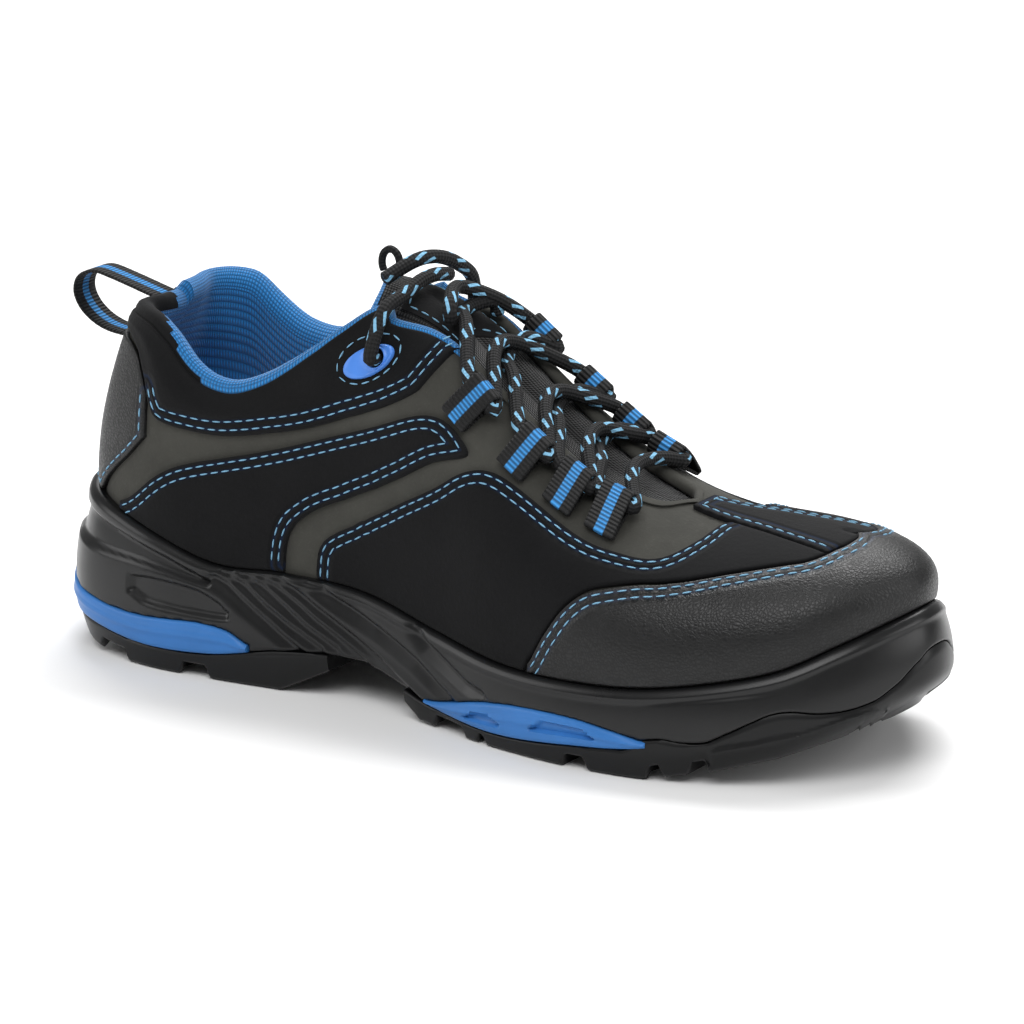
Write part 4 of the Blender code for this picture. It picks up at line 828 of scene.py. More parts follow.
def new_group(name, inputs, outputs):
    """A shader node group with numbers for inputs, each with its default, and named outputs."""
    tree = bpy.data.node_groups.new(name, "ShaderNodeTree")
    for label, kind, value in inputs:
        socket = tree.interface.new_socket(label, in_out="INPUT", socket_type=kind)
        if value is not None:
            socket.default_value = value
    for label in outputs:
        tree.interface.new_socket(label, in_out="OUTPUT", socket_type="NodeSocketFloat")
    entry = tree.nodes.new("NodeGroupInput").outputs
    leave = tree.nodes.new("NodeGroupOutput").inputs
    return tree, entry, leave


def set_outputs(tree, leave, **values):
    """Links values to a group's named outputs."""
    for label, value in values.items():
        tree.links.new(value, leave[label])


@lru_cache(maxsize=None)
def nap_group():
    """Brushed leather: soft cloudy patches and a short fibrous nap."""
    tree, entry, leave = new_group(
        "Nap",
        (("Place", "NodeSocketVector", None), ("Scale", "NodeSocketFloat", 1.0)),
        ("Cloud", "Fibre", "Height"),
    )
    cloud = noise(tree, entry["Place"], 42.0, 4.0, 0.62)[0]
    scale = maths(tree, "MULTIPLY", entry["Scale"], 950.0)
    fibre = noise(tree, entry["Place"], scale, 3.0, 0.7, 0.6)[0]
    pores = add_node(tree, "ShaderNodeTexVoronoi", {
        "Vector": entry["Place"], "Scale": maths(tree, "MULTIPLY", entry["Scale"], 620.0),
    }).outputs["Distance"]
    height = maths(tree, "ADD", fibre, maths(tree, "MULTIPLY", pores, 0.55))
    set_outputs(tree, leave, Cloud=cloud, Fibre=fibre, Height=height)
    return tree


@lru_cache(maxsize=None)
def pebble_group():
    """Grained leather: rounded pebbles with creases between them."""
    tree, entry, leave = new_group(
        "Pebble grain",
        (("Place", "NodeSocketVector", None), ("Scale", "NodeSocketFloat", 1.0)),
        ("Crease", "Height"),
    )
    bend = noise(tree, entry["Place"], 160.0)[1]
    shift = add_node(tree, "ShaderNodeVectorMath", {0: bend, 3: 4 * MM},
                     operation="SCALE").outputs[0]
    place = add_node(tree, "ShaderNodeVectorMath", {0: entry["Place"], 1: shift},
                     operation="ADD").outputs[0]
    scale = maths(tree, "MULTIPLY", entry["Scale"], 950.0)
    cells = add_node(tree, "ShaderNodeTexVoronoi", {
        "Vector": place, "Scale": scale, "Randomness": 0.92,
    }, feature="SMOOTH_F1")
    edges = add_node(tree, "ShaderNodeTexVoronoi", {
        "Vector": place, "Scale": scale, "Randomness": 0.92,
    }, feature="DISTANCE_TO_EDGE")
    crease = ranged(tree, edges.outputs["Distance"], 0.0, 0.22, 1.0, 0.0)
    fine = noise(tree, entry["Place"], 2600.0)[0]
    dome = maths(tree, "SUBTRACT", 1.0, cells.outputs["Distance"])
    height = maths(tree, "ADD", dome, maths(tree, "MULTIPLY", fine, 0.12))
    height = maths(tree, "SUBTRACT", height, maths(tree, "MULTIPLY", crease, 0.5))
    set_outputs(tree, leave, Crease=crease, Height=height)
    return tree


@lru_cache(maxsize=None)
def seam_group():
    """Seams a set distance in from a panel's edge: a groove with a soft swell beside it; masks for
    painted shade in the groove and a painted highlight along the cut edge.
    """
    tree, entry, leave = new_group(
        "Seam groove",
        (("Edge", "NodeSocketFloat", None), ("First", "NodeSocketFloat", 0.0017),
         ("Second", "NodeSocketFloat", 0.0046), ("Width", "NodeSocketFloat", 0.0007)),
        ("Groove", "Height", "Rim"),
    )
    masks = []
    dips = []
    for label in ("First", "Second"):
        away = maths(tree, "ABSOLUTE", maths(tree, "SUBTRACT", entry["Edge"], entry[label]))
        wide = maths(tree, "MULTIPLY", entry["Width"], 2.4)
        for widths, made in ((entry["Width"], masks), (wide, dips)):
            made.append(ranged(tree, away, 0.0, widths, 1.0, 0.0, "SMOOTHSTEP"))
    # Painted shade in the seam grooves: this mask only tints the colour.
    groove = maths(tree, "MAXIMUM", *masks)
    dip = maths(tree, "MAXIMUM", *dips)
    height = maths(tree, "MULTIPLY", dip, -1.0)
    # Painted highlight along the panel's cut edge: this mask lightens the colour there.
    rim = ranged(tree, entry["Edge"], 0.0, 0.9 * MM, 1.0, 0.0, "SMOOTHSTEP")
    set_outputs(tree, leave, Groove=groove, Height=height, Rim=rim)
    return tree


@lru_cache(maxsize=None)
def weave_group():
    """Threads across and along a pattern in metres, each Pitch wide."""
    tree, entry, leave = new_group(
        "Weave",
        (("Place", "NodeSocketVector", None), ("Pitch", "NodeSocketFloat", 0.001),
         ("Ratio", "NodeSocketFloat", 1.0)),
        ("Across", "Along", "Height"),
    )
    split = add_node(tree, "ShaderNodeSeparateXYZ", {0: entry["Place"]}).outputs
    turn = maths(tree, "DIVIDE", 2 * math.pi, entry["Pitch"])
    across = maths(tree, "MULTIPLY", split[0], turn)
    along = maths(tree, "MULTIPLY", split[1], maths(tree, "MULTIPLY", turn, entry["Ratio"]))
    ribs = maths(tree, "MULTIPLY_ADD", maths(tree, "SINE", across), 0.5, 0.5)
    rows = maths(tree, "MULTIPLY_ADD", maths(tree, "SINE", along), 0.5, 0.5)
    height = maths(tree, "MULTIPLY", maths(tree, "SQRT", ribs), maths(tree, "SQRT", rows))
    set_outputs(tree, leave, Across=ribs, Along=rows, Height=height)
    return tree


def start_finish(name, roughness, specular=0.5):
    """A new material, its tree and its Principled shader."""
    made = bpy.data.materials.new(name)
    made.use_nodes = True
    tree = made.node_tree
    shader = tree.nodes["Principled BSDF"]
    shader.inputs["Roughness"].default_value = roughness
    shader.inputs["Specular IOR Level"].default_value = specular
    return made, tree, shader


def use_group(tree, group, **inputs):
    """Places a group and gives its outputs."""
    made = tree.nodes.new("ShaderNodeGroup")
    made.node_tree = group
    for key, value in inputs.items():
        if isinstance(value, bpy.types.NodeSocket):
            tree.links.new(value, made.inputs[key])
        else:
            made.inputs[key].default_value = value
    return made.outputs


def object_place(tree):
    """The object's own coordinates."""
    return add_node(tree, "ShaderNodeTexCoord").outputs["Object"]


def pattern_place(tree):
    """The piece's own pattern coordinates, in metres."""
    return add_node(tree, "ShaderNodeUVMap", uv_map="Pattern").outputs[0]


def bumped(tree, shader, *layers):
    """Bump nodes one after another; layers are a height, a strength and a depth in metres."""
    normal = None
    for height, strength, depth in layers:
        inputs = {"Height": height, "Strength": strength, "Distance": depth}
        if normal:
            inputs["Normal"] = normal
        normal = add_node(tree, "ShaderNodeBump", inputs).outputs[0]
    tree.links.new(normal, shader.inputs["Normal"])


def seam_masks(tree):
    """The seam group's outputs for a sewn panel."""
    edge = add_node(tree, "ShaderNodeAttribute", attribute_name="edge").outputs["Fac"]
    return use_group(tree, seam_group(), Edge=edge, First=sizes().seam_first,
                     Second=sizes().seam_second, Width=0.85 * MM)


def shaded(rgba, factor):
    """A colour made darker or lighter by a factor."""
    return (*(min(v * factor, 1.0) for v in rgba[:3]), 1.0)


@lru_cache(maxsize=None)
def nubuck(kind):
    """Brushed leather, with seam grooves where it is a sewn panel, painted shade in them and a
    painted highlight along its cut edge.
    """
    panel = kind == "nubuck"
    made, tree, shader = start_finish("Black nubuck" if panel else "Grey nubuck", 0.86, 0.14)
    place = object_place(tree)
    nap = use_group(tree, nap_group(), Place=place, Scale=1.0)
    cloud = ranged(tree, nap["Cloud"], 0.32, 0.7)
    body = mixed(tree, cloud, shaded(colour(kind), 0.85), shaded(colour(kind), 1.2))
    lint = ranged(tree, nap["Fibre"], 0.55, 0.8, 0.0, 0.3)
    body = mixed(tree, lint, body, shaded(colour(kind), 1.8))
    layers = [(nap["Height"], 0.55, 0.16 * MM)]
    if panel:
        seams = seam_masks(tree)
        # Painted shade in the seam grooves, tinted navy.
        body = mixed(tree, maths(tree, "MULTIPLY", seams["Groove"], 0.8), body, colour("groove"))
        # Painted highlight along the panel's cut edge.
        body = mixed(tree, maths(tree, "MULTIPLY", seams["Rim"], 0.5), body,
                     shaded(colour(kind), 2.2))
        layers.insert(0, (seams["Height"], 1.0, 0.45 * MM))
    tree.links.new(body, shader.inputs["Base Color"])
    shader.inputs["Sheen Weight"].default_value = 0.04
    shader.inputs["Sheen Roughness"].default_value = 0.5
    bumped(tree, shader, *layers)
    return made


@lru_cache(maxsize=None)
def grained():
    """Black pebbled leather with a broad soft gloss, and painted shade in its creases."""
    made, tree, shader = start_finish("Black grained leather", 0.42, 0.38)
    place = object_place(tree)
    grain = use_group(tree, pebble_group(), Place=place, Scale=1.0)
    seams = seam_masks(tree)
    cloud = use_group(tree, nap_group(), Place=place, Scale=1.0)["Cloud"]
    # Painted shade: darker in the creases between the pebbles, lighter on the pebbles.
    body = mixed(tree, grain["Crease"], shaded(colour("grained"), 1.25),
                 shaded(colour("grained"), 0.45))
    # Painted shade in the seam grooves, tinted navy.
    body = mixed(tree, maths(tree, "MULTIPLY", seams["Groove"], 0.8), body, colour("groove"))
    tree.links.new(body, shader.inputs["Base Color"])
    rough = ranged(tree, cloud, 0.3, 0.7, 0.30, 0.42)
    rough = maths(tree, "ADD", rough, maths(tree, "MULTIPLY", grain["Crease"], 0.2))
    tree.links.new(rough, shader.inputs["Roughness"])
    bumped(tree, shader, (seams["Height"], 1.0, 0.45 * MM), (grain["Height"], 0.5, 0.16 * MM))
    return made


@lru_cache(maxsize=None)
def knit(kind, pitch=1.15 * MM):
    """Knitted or mesh cloth on its own pattern, with painted shade in the weave's hollows and a
    painted highlight on its yarns.
    """
    made, tree, shader = start_finish(kind.capitalize() + " cloth", 0.92, 0.2)
    weave = use_group(tree, weave_group(), Place=pattern_place(tree), Pitch=pitch, Ratio=0.72)
    cloud = use_group(tree, nap_group(), Place=object_place(tree), Scale=1.0)
    # Painted shade and highlight: darker where the weave is low, lighter on the yarns' tops.
    body = mixed(tree, weave["Height"], shaded(colour(kind), 0.38), shaded(colour(kind), 1.3))
    soft = ranged(tree, cloud["Cloud"], 0.3, 0.7, 0.0, 0.35)
    body = mixed(tree, soft, body, shaded(colour(kind), 0.6))
    tree.links.new(body, shader.inputs["Base Color"])
    shader.inputs["Sheen Weight"].default_value = 0.25
    bumped(tree, shader, (weave["Height"], 0.9, 0.35 * MM), (cloud["Fibre"], 0.4, 0.1 * MM))
    return made


@lru_cache(maxsize=None)
def ribbed_webbing():
    """Black webbing, ribbed across, with a blue stripe along its middle and painted shade between
    its ribs.
    """
    made, tree, shader = start_finish("Ribbed webbing", 0.72, 0.35)
    place = pattern_place(tree)
    weave = use_group(tree, weave_group(), Place=place, Pitch=1.25 * MM, Ratio=1.6)
    split = add_node(tree, "ShaderNodeSeparateXYZ", {0: place}).outputs
    away = maths(tree, "ABSOLUTE", split[1])
    stripe = ranged(tree, away, STRIPE_HALF - 0.15 * MM, STRIPE_HALF + 0.15 * MM, 1.0, 0.0)
    body = mixed(tree, stripe, colour("webbing"), colour("stripe"))
    # Painted shade between the ribs: a darker copy of both colours where the ribs are low.
    body = mixed(tree, maths(tree, "SUBTRACT", 1.0, weave["Across"]), body,
                 mixed(tree, stripe, shaded(colour("webbing"), 0.3), shaded(colour("stripe"), 0.3)))
    tree.links.new(body, shader.inputs["Base Color"])
    bumped(tree, shader, (weave["Across"], 1.0, 0.45 * MM), (weave["Height"], 0.4, 0.12 * MM))
    return made


@lru_cache(maxsize=None)
def braid(flecked=True):
    """Braided black cord with painted shade between its strands and a painted highlight on them;
    light yarns show as flecks in the lace.
    """
    made, tree, shader = start_finish("Braided cord" if flecked else "Plain cord", 0.78, 0.3)
    place = pattern_place(tree)
    split = add_node(tree, "ShaderNodeSeparateXYZ", {0: place}).outputs
    pitch = 2 * math.pi / BRAID_PITCH
    left = maths(tree, "MULTIPLY", maths(tree, "ADD", split[0], split[1]), pitch)
    right = maths(tree, "MULTIPLY", maths(tree, "SUBTRACT", split[0], split[1]), pitch)
    plait = maths(tree, "MULTIPLY", maths(tree, "SINE", left), maths(tree, "SINE", right))
    height = maths(tree, "MULTIPLY_ADD", plait, 0.5, 0.5)
    turns = 2 * math.pi / (math.pi * LACE_DIAMETER)
    yarns = maths(tree, "ADD", maths(tree, "MULTIPLY", split[1], 4 * turns),
                  maths(tree, "MULTIPLY", split[0], 2 * math.pi / FLECK_PITCH))
    groups = maths(tree, "ADD", maths(tree, "MULTIPLY", split[1], turns),
                   maths(tree, "MULTIPLY", split[0], -2 * math.pi / FLECK_GROUP))
    yarn = ranged(tree, maths(tree, "SINE", yarns), 0.45, 0.6)
    group = ranged(tree, maths(tree, "SINE", groups), 0.35, 0.45)
    fleck = maths(tree, "MULTIPLY", yarn, group)
    # Painted shade and highlight: darker between the strands, lighter on their tops.
    body = mixed(tree, height, shaded(colour("lace"), 0.5), shaded(colour("lace"), 2.4))
    if flecked:
        body = mixed(tree, fleck, body, colour("fleck"))
    tree.links.new(body, shader.inputs["Base Color"])
    bumped(tree, shader, (height, 0.9, 0.4 * MM))
    return made


@lru_cache(maxsize=None)
def moulded(name, key, roughness, coat=0.0, texture=0.35):
    """Moulded foam, rubber or plastic with a fine skin and slightly uneven gloss."""
    made, tree, shader = start_finish(name, roughness, 0.22)
    place = object_place(tree)
    skin = noise(tree, place, 1500.0, 3.0, 0.7)[0]
    cloud = use_group(tree, nap_group(), Place=place, Scale=1.0)["Cloud"]
    body = mixed(tree, cloud, shaded(colour(key), 0.8), shaded(colour(key), 1.25))
    tree.links.new(body, shader.inputs["Base Color"])
    rough = ranged(tree, cloud, 0.3, 0.7, roughness - 0.07, roughness + 0.08)
    tree.links.new(rough, shader.inputs["Roughness"])
    shader.inputs["Coat Weight"].default_value = coat
    shader.inputs["Coat Roughness"].default_value = 0.25
    bumped(tree, shader, (skin, texture, 0.06 * MM))
    return made


@lru_cache(maxsize=None)
def thread():
    """Twisted sewing thread."""
    made, tree, shader = start_finish("Thread", 0.62, 0.35)
    place = object_place(tree)
    twist = noise(tree, place, 1400.0)[0]
    body = mixed(tree, twist, shaded(colour("thread"), 0.6), shaded(colour("thread"), 1.25))
    tree.links.new(body, shader.inputs["Base Color"])
    bumped(tree, shader, (twist, 0.5, 0.1 * MM))
    return made


@lru_cache(maxsize=None)
def pale_floor():
    """Plain pale studio floor."""
    made, _, shader = start_finish("Pale floor", 0.85, 0.1)
    shader.inputs["Base Color"].default_value = colour("floor")
    return made


def mirrored_positions(start, end, spacing):
    """Loop positions from a station of the outer side round the toe to the same station inside."""
    half = even_positions(start, end, spacing)
    return half + [LOOP - p for p in reversed(half[:-1])]


def closed_positions(spacing):
    """Loop positions all the way round, the last one the first again."""
    half = even_positions(0.0, float(LAST_STATION), spacing, 0.0)
    return half + [LOOP - p for p in reversed(half[:-1])]


def build_skin():
    """The grey nubuck of the upper, from inside the sole's cup to the collar and throat."""
    positions = closed_positions(sizes().spacing * 1.25)
    girths = [-0.5, 0.0] + [k / 26 for k in range(1, 27)]

    def place(lift):
        def put(i, j):
            position = positions[i]
            girth = girths[j]
            return last_point(position, girth * free_edge(position) if girth > 0 else girth, lift)
        return put

    shape = sheet_form(len(positions) - 1, len(girths) - 1, place(0.0), place(-1.1 * MM))
    finish_piece("upper_skin", shape, [nubuck("base")], ["upper"])


ROLL_STEPS = 7
LINING_SHARES = (0.93, 0.86, 0.78, 0.7, 0.6, 0.5, 0.4, 0.3, 0.2, 0.1, 0.0, -0.5, -1.0)
BINDING_END = 7.35
CORNER_STATION = 6.45


def heel_roll(station):
    """How far the black leather wraps over the collar's roll by the heel, at a station."""
    return smoothstep(0.4, 0.9, station) * (1 - smoothstep(2.3, 3.8, station))


def build_lining():
    """The knit lining: it rolls over the collar's edge and goes down to the footbed."""
    positions = closed_positions(sizes().spacing)
    rolls = {}
    for position in positions:
        edge = free_edge(position)
        wall = wall_depth(position, 1.0)
        inside = last_point(position, edge, -wall)
        if edge >= 1.0:
            rolls[position] = [inside] * (ROLL_STEPS + 2)
            continue
        outside = last_point(position, edge, 0.6 * MM)
        up = skin_frame(position, edge)[2]
        middle, reach = (outside + inside) / 2, (outside - inside) / 2
        line = [last_point(position, edge - 0.02, 0.35 * MM)]
        for k in range(ROLL_STEPS + 1):
            angle = math.pi * k / ROLL_STEPS
            rise = up * math.sin(angle) * min(reach.length, 3.2 * MM)
            line.append(middle + reach * math.cos(angle) + rise)
        rolls[position] = line
    roll_rows = ROLL_STEPS + 2
    rows = roll_rows + len(LINING_SHARES)

    def outer(i, j):
        position = positions[i]
        if j < roll_rows:
            return rolls[position][j]
        share = LINING_SHARES[j - roll_rows]
        girth = share * free_edge(position) if share > 0 else share
        return last_point(position, girth, -wall_depth(position, share))

    shape = sheet_form(
        len(positions) - 1, rows - 1, outer, uv=lambda i, j: (i * sizes().spacing, j * 2.6 * MM),
        # Far from any seam: no painted seam shade and no painted edge highlight on the lining's
        # nubuck.
        layers=[("edge", lambda i, j: FAR_FROM_SEAM)],
    )
    column = shape.verts.layers.int["column"]
    row = shape.verts.layers.int["row"]
    for face in shape.faces:
        stations = [station_of(positions[v[column]]) for v in face.verts]
        high = min(v[row] for v in face.verts)
        if min(stations) > BINDING_END and high < roll_rows:
            face.material_index = 1
        elif high < 7 * heel_roll(max(stations)) and side_of(positions[face.verts[0][column]]) < 0:
            face.material_index = 2
        elif min(stations) > CORNER_STATION and 3 <= high < roll_rows:
            face.material_index = 1
    weld(shape)
    bmesh.ops.solidify(shape, geom=shape.faces[:], thickness=0.5 * MM)
    bmesh.ops.recalc_face_normals(shape, faces=shape.faces)
    made = finish_piece(
        "collar_lining", shape, [knit("lining"), nubuck("base"), nubuck("nubuck")],
        welded=False,
    )


class Patch:
    """A panel on the upper: loop positions, and the girths of its low and high edge at each."""

    def __init__(self, positions, low, high, thickness, swell=None, plain=None, tip=None):
        self.positions = positions
        self.plain = plain or (lambda position, girth: False)
        self.low = [max(low(p), girth_at_height(p, section(p)["rim"] + 0.1 * MM)) for p in positions]
        self.high = [max(high(p), a + PANEL_LEAST) for p, a in zip(positions, self.low)]
        if tip:
            self.round_tip(*tip)
        self.thickness = thickness
        self.swell = swell
        longest = max(
            (last_point(p, b) - last_point(p, a)).length
            for p, a, b in zip(positions, self.low, self.high)
        )
        count = max(round(longest / sizes().spacing), 4)
        self.shares = fine_ends([k / count for k in range(count + 1)])

    def round_tip(self, end, reach):
        """Rounds one end: the low and high edges meet there in a half circle."""
        for i, position in enumerate(self.positions):
            share = min(abs(position - self.positions[end]) / reach, 1.0)
            keep = max(math.sqrt(max(1 - (1 - share) ** 2, 0.0)), 0.12)
            middle = (self.low[i] + self.high[i]) / 2
            half = (self.high[i] - self.low[i]) / 2 * keep
            self.low[i], self.high[i] = middle - half, middle + half

    def sewn_edge(self, edge):
        """The part of an edge that is sewn."""
        return [pair for pair in finer(edge) if not self.plain(*pair)]

    def girth(self, i, j):
        """The girth at a column and a row of the panel."""
        return self.low[i] + (self.high[i] - self.low[i]) * self.shares[j]

    def outline(self):
        """The four edges as lists of a loop position and a girth, in turn round the panel."""
        low = list(zip(self.positions, self.low))
        high = list(zip(self.positions, self.high))
        last = len(self.positions) - 1
        ends = [
            [(self.positions[i], self.girth(i, j)) for j in range(len(self.shares))]
            for i in (last, 0)
        ]
        return {"low": low, "end": ends[0], "high": high[::-1], "start": ends[1][::-1]}


def finer(points, spacing=0.7 * MM):
    """An edge's points, close together: pairs of a loop position and a girth."""
    made = [points[0]]
    for (pa, ga), (pb, gb) in zip(points, points[1:]):
        reach = (last_point(pb, gb) - last_point(pa, ga)).length
        steps = max(math.ceil(reach / spacing), 1)
        for k in range(1, steps + 1):
            made.append((pa + (pb - pa) * k / steps, ga + (gb - ga) * k / steps))
    return made


def search_tree(points):
    """A tree that finds the nearest of the points."""
    tree = KDTree(len(points))
    for k, point in enumerate(points):
        tree.insert(point, k)
    tree.balance()
    return tree


def edge_tree(edges):
    """A search tree of the points of some edges."""
    return search_tree([last_point(p, g) for edge in edges for p, g in edge])


def panel_lift(thickness, near):
    """How far a panel's face stands off the skin, near a rounded cut edge or away from it."""
    return OVERLAY_GAP + thickness * (0.25 + 0.75 * rounded(near, sizes().edge_round))


def build_patch(name, patch, surface, node, seams):
    """The panel's mesh, and its stitches along the named edges."""
    outline = patch.outline()
    every = edge_tree([finer(edge) for edge in outline.values()])
    sewn = edge_tree([patch.sewn_edge(outline[key]) for key in seams])
    reach = 1.0 if any(len(rows) > 1 for rows in seams.values()) else FAR_FROM_SEAM
    positions, shares = patch.positions, patch.shares
    distances = {}
    for i in range(len(positions)):
        for j in range(len(shares)):
            point = last_point(positions[i], patch.girth(i, j))
            near = every.find(point)[2]
            distances[i, j] = (near, min(sewn.find(point)[2], reach))

    def outer(i, j):
        near = distances[i, j][0]
        stand = panel_lift(patch.thickness, near)
        if patch.swell:
            stand += patch.swell(positions[i], shares[j], near)
        return last_point(positions[i], patch.girth(i, j), stand)

    def inner(i, j):
        return last_point(positions[i], patch.girth(i, j), PANEL_BACK)

    shape = sheet_form(
        len(positions) - 1, len(shares) - 1, outer, inner,
        layers=[("edge", lambda i, j: distances[i, j][1])],
    )
    finish_piece(name, shape, [surface], [node])
    if sizes().stitched:
        top = OVERLAY_GAP + patch.thickness
        for key, offsets in seams.items():
            for offset in offsets:
                sew(outline[key], offset, sewn, top, patch)


# The seams still to be stitched: each is a run of points with their outward directions.
STITCH_RUNS = []
STITCH_HALF_HEIGHT = 0.33 * MM

# Stations on the panels' edges: the corner where the collar's cover leaves the heel counter, the
# front end of a quarter panel, where its seams end and where it turns along the strip. Then how
# many stations soften an edge or round a tip, and where seams stop above the sole's rim.
COUNTER_TOP_STATION = 2.9
COLLAR_FRONT = 7.3
QUARTER_END = 11.95
QUARTER_SEWN_END = 10.42
QUARTER_TO_STRIP = (10.22, 10.5)
QUARTER_EASE = 0.12
SIDE_EASE = 0.3
SIDE_TIP = 0.36
SEWN_ABOVE_RIM = 2.2 * MM


def sew(edge, offset, tree, top, patch):
    """Adds the seam that runs along an edge, offset in from it, to the runs to be stitched."""
    points = finer(edge, 0.9 * MM)
    run = []
    for k in range(1, len(points) - 1):
        position, girth = points[k]
        if patch.plain(position, girth):
            if run:
                STITCH_RUNS.append(run)
                run = []
            continue
        before, after = last_point(*points[k - 1]), last_point(*points[k + 1])
        travel = after - before
        if travel.length < 1e-7:
            continue
        _, along, up, out, _, _ = skin_frame(position, girth)
        inwards = out.cross(travel.normalized())
        place = step_on_skin(position, girth, inwards.dot(along) * offset, inwards.dot(up) * offset)
        point = last_point(*place)
        kept = tree.find(point)[2] > offset * 0.93
        if not kept and run:
            STITCH_RUNS.append(run)
            run = []
        if kept:
            stand = top
            if patch.swell:
                share = patch_share(patch, *place)
                stand += patch.swell(place[0], share, offset)
            run.append((last_point(*place, stand), skin_frame(*place)[3]))
    if run:
        STITCH_RUNS.append(run)


def sew_places(places):
    """Adds a seam over places on the panels to the runs to be stitched."""
    top = OVERLAY_GAP + OVERLAY
    STITCH_RUNS.append([(last_point(*place, top), skin_frame(*place)[3]) for place in places])


def patch_share(patch, position, girth):
    """Share of the way up a panel at a place on it."""
    i = min(range(len(patch.positions)), key=lambda k: abs(patch.positions[k] - position))
    return min(max((girth - patch.low[i]) / max(patch.high[i] - patch.low[i], 1e-4), 0.0), 1.0)


def stitch_along(shape, run):
    """Stitches along a run of points, each with its outward direction."""
    lengths = running_lengths([point for point, _ in run])
    pitch = sizes().stitch_length + sizes().stitch_gap
    count = int(lengths[-1] / pitch)
    if count < 2:
        return
    pitch = lengths[-1] / count
    i = 0
    for k in range(count):
        at = pitch * (k + 0.5)
        while i < len(run) - 2 and lengths[i + 1] < at:
            i += 1
        share = (at - lengths[i]) / max(lengths[i + 1] - lengths[i], 1e-9)
        point = run[i][0].lerp(run[i + 1][0], share)
        before = run[max(i - 1, 0)][0]
        after = run[min(i + 2, len(run) - 1)][0]
        along = (after - before).normalized()
        out = run[i][1]
        across = out.cross(along).normalized()
        out = along.cross(across)
        turn = Matrix((along, across, out)).transposed().to_4x4()
        half = (sizes().stitch_length / 2, sizes().stitch_width / 2, STITCH_HALF_HEIGHT)
        size = Matrix.Diagonal((*half, 1.0))
        bmesh.ops.create_uvsphere(
            shape, u_segments=6, v_segments=5, radius=1.0,
            matrix=Matrix.Translation(point) @ turn @ size @ Matrix.Rotation(math.pi / 2, 4, "Y"),
        )


SWELL_REACH = 9 * MM


def swollen(position, share, near):
    """How far the padded collar stands out from the skin, none near its edges."""
    full = smoothstep(0.0, SWELL_REACH, near) * collar_share(position)
    return sizes().collar_swell * full * math.sin(math.pi * min(max(share, 0.0), 1.0)) ** 0.6


def eased(value, station, reach):
    """A value softened over a reach of stations to both sides."""
    return sum(value(station + reach * k / 3) for k in range(-3, 4)) / 7


# Rounded corners of the side and quarter panels near the sole: station and girth.
SIDE_CORNER = (
    (4.94, 0.0), (4.95, 0.035), (4.97, 0.060), (5.01, 0.082), (5.08, 0.102), (5.18, 0.1185),
    (5.32, 0.1395), (5.50, 0.1615),
)
QUARTER_CORNER = (
    (5.38, 0.0), (5.385, 0.030), (5.40, 0.055), (5.43, 0.072), (5.48, 0.086), (5.56, 0.100),
    (5.68, 0.117), (5.85, 0.140), (6.00, 0.166),
)


def cornered(corner, table, station):
    """A table's value, with a rounded corner in place of a part of it."""
    if corner[0][0] <= station <= corner[-1][0]:
        return table_value(corner, station)
    return table_value(table, station)


STRIP_START = THROAT_LINE[-1][0] * SOLE_LENGTH - HEEL_TO_ORIGIN + STRIP_BEHIND_THROAT


def strip_half(x):
    """Half the width of the vamp's strip at x."""
    share = min(max((x - STRIP_START) / (cap_edge_x(STRIP_HALF_FRONT) - STRIP_START), 0.0), 1.0)
    return STRIP_HALF_BACK + (STRIP_HALF_FRONT - STRIP_HALF_BACK) * share


@lru_cache(maxsize=None)
def beside_strip(position):
    """The girth at which the skin meets the strip's side."""
    low, high = 0.3, 1.0
    ridge = section(position)["ridge_y"]
    for _ in range(22):
        middle = (low + high) / 2
        point = last_point(position, middle)
        if abs(point.y - ridge) > strip_half(point.x) + STRIP_CLEAR:
            low = middle
        else:
            high = middle
    return low


def quarter_top(position):
    """Top edge of a quarter panel: to its peak as measured, then along the strip."""
    station = station_of(position)
    if station < QUARTER_CORNER[-1][0]:
        return cornered(QUARTER_CORNER, QUARTER_TOP, station)
    top = eased(lambda s: smooth_value(QUARTER_TOP, s), station, QUARTER_EASE)
    share = smoothstep(*QUARTER_TO_STRIP, station)
    return top + (beside_strip(position) - top) * share if share else top


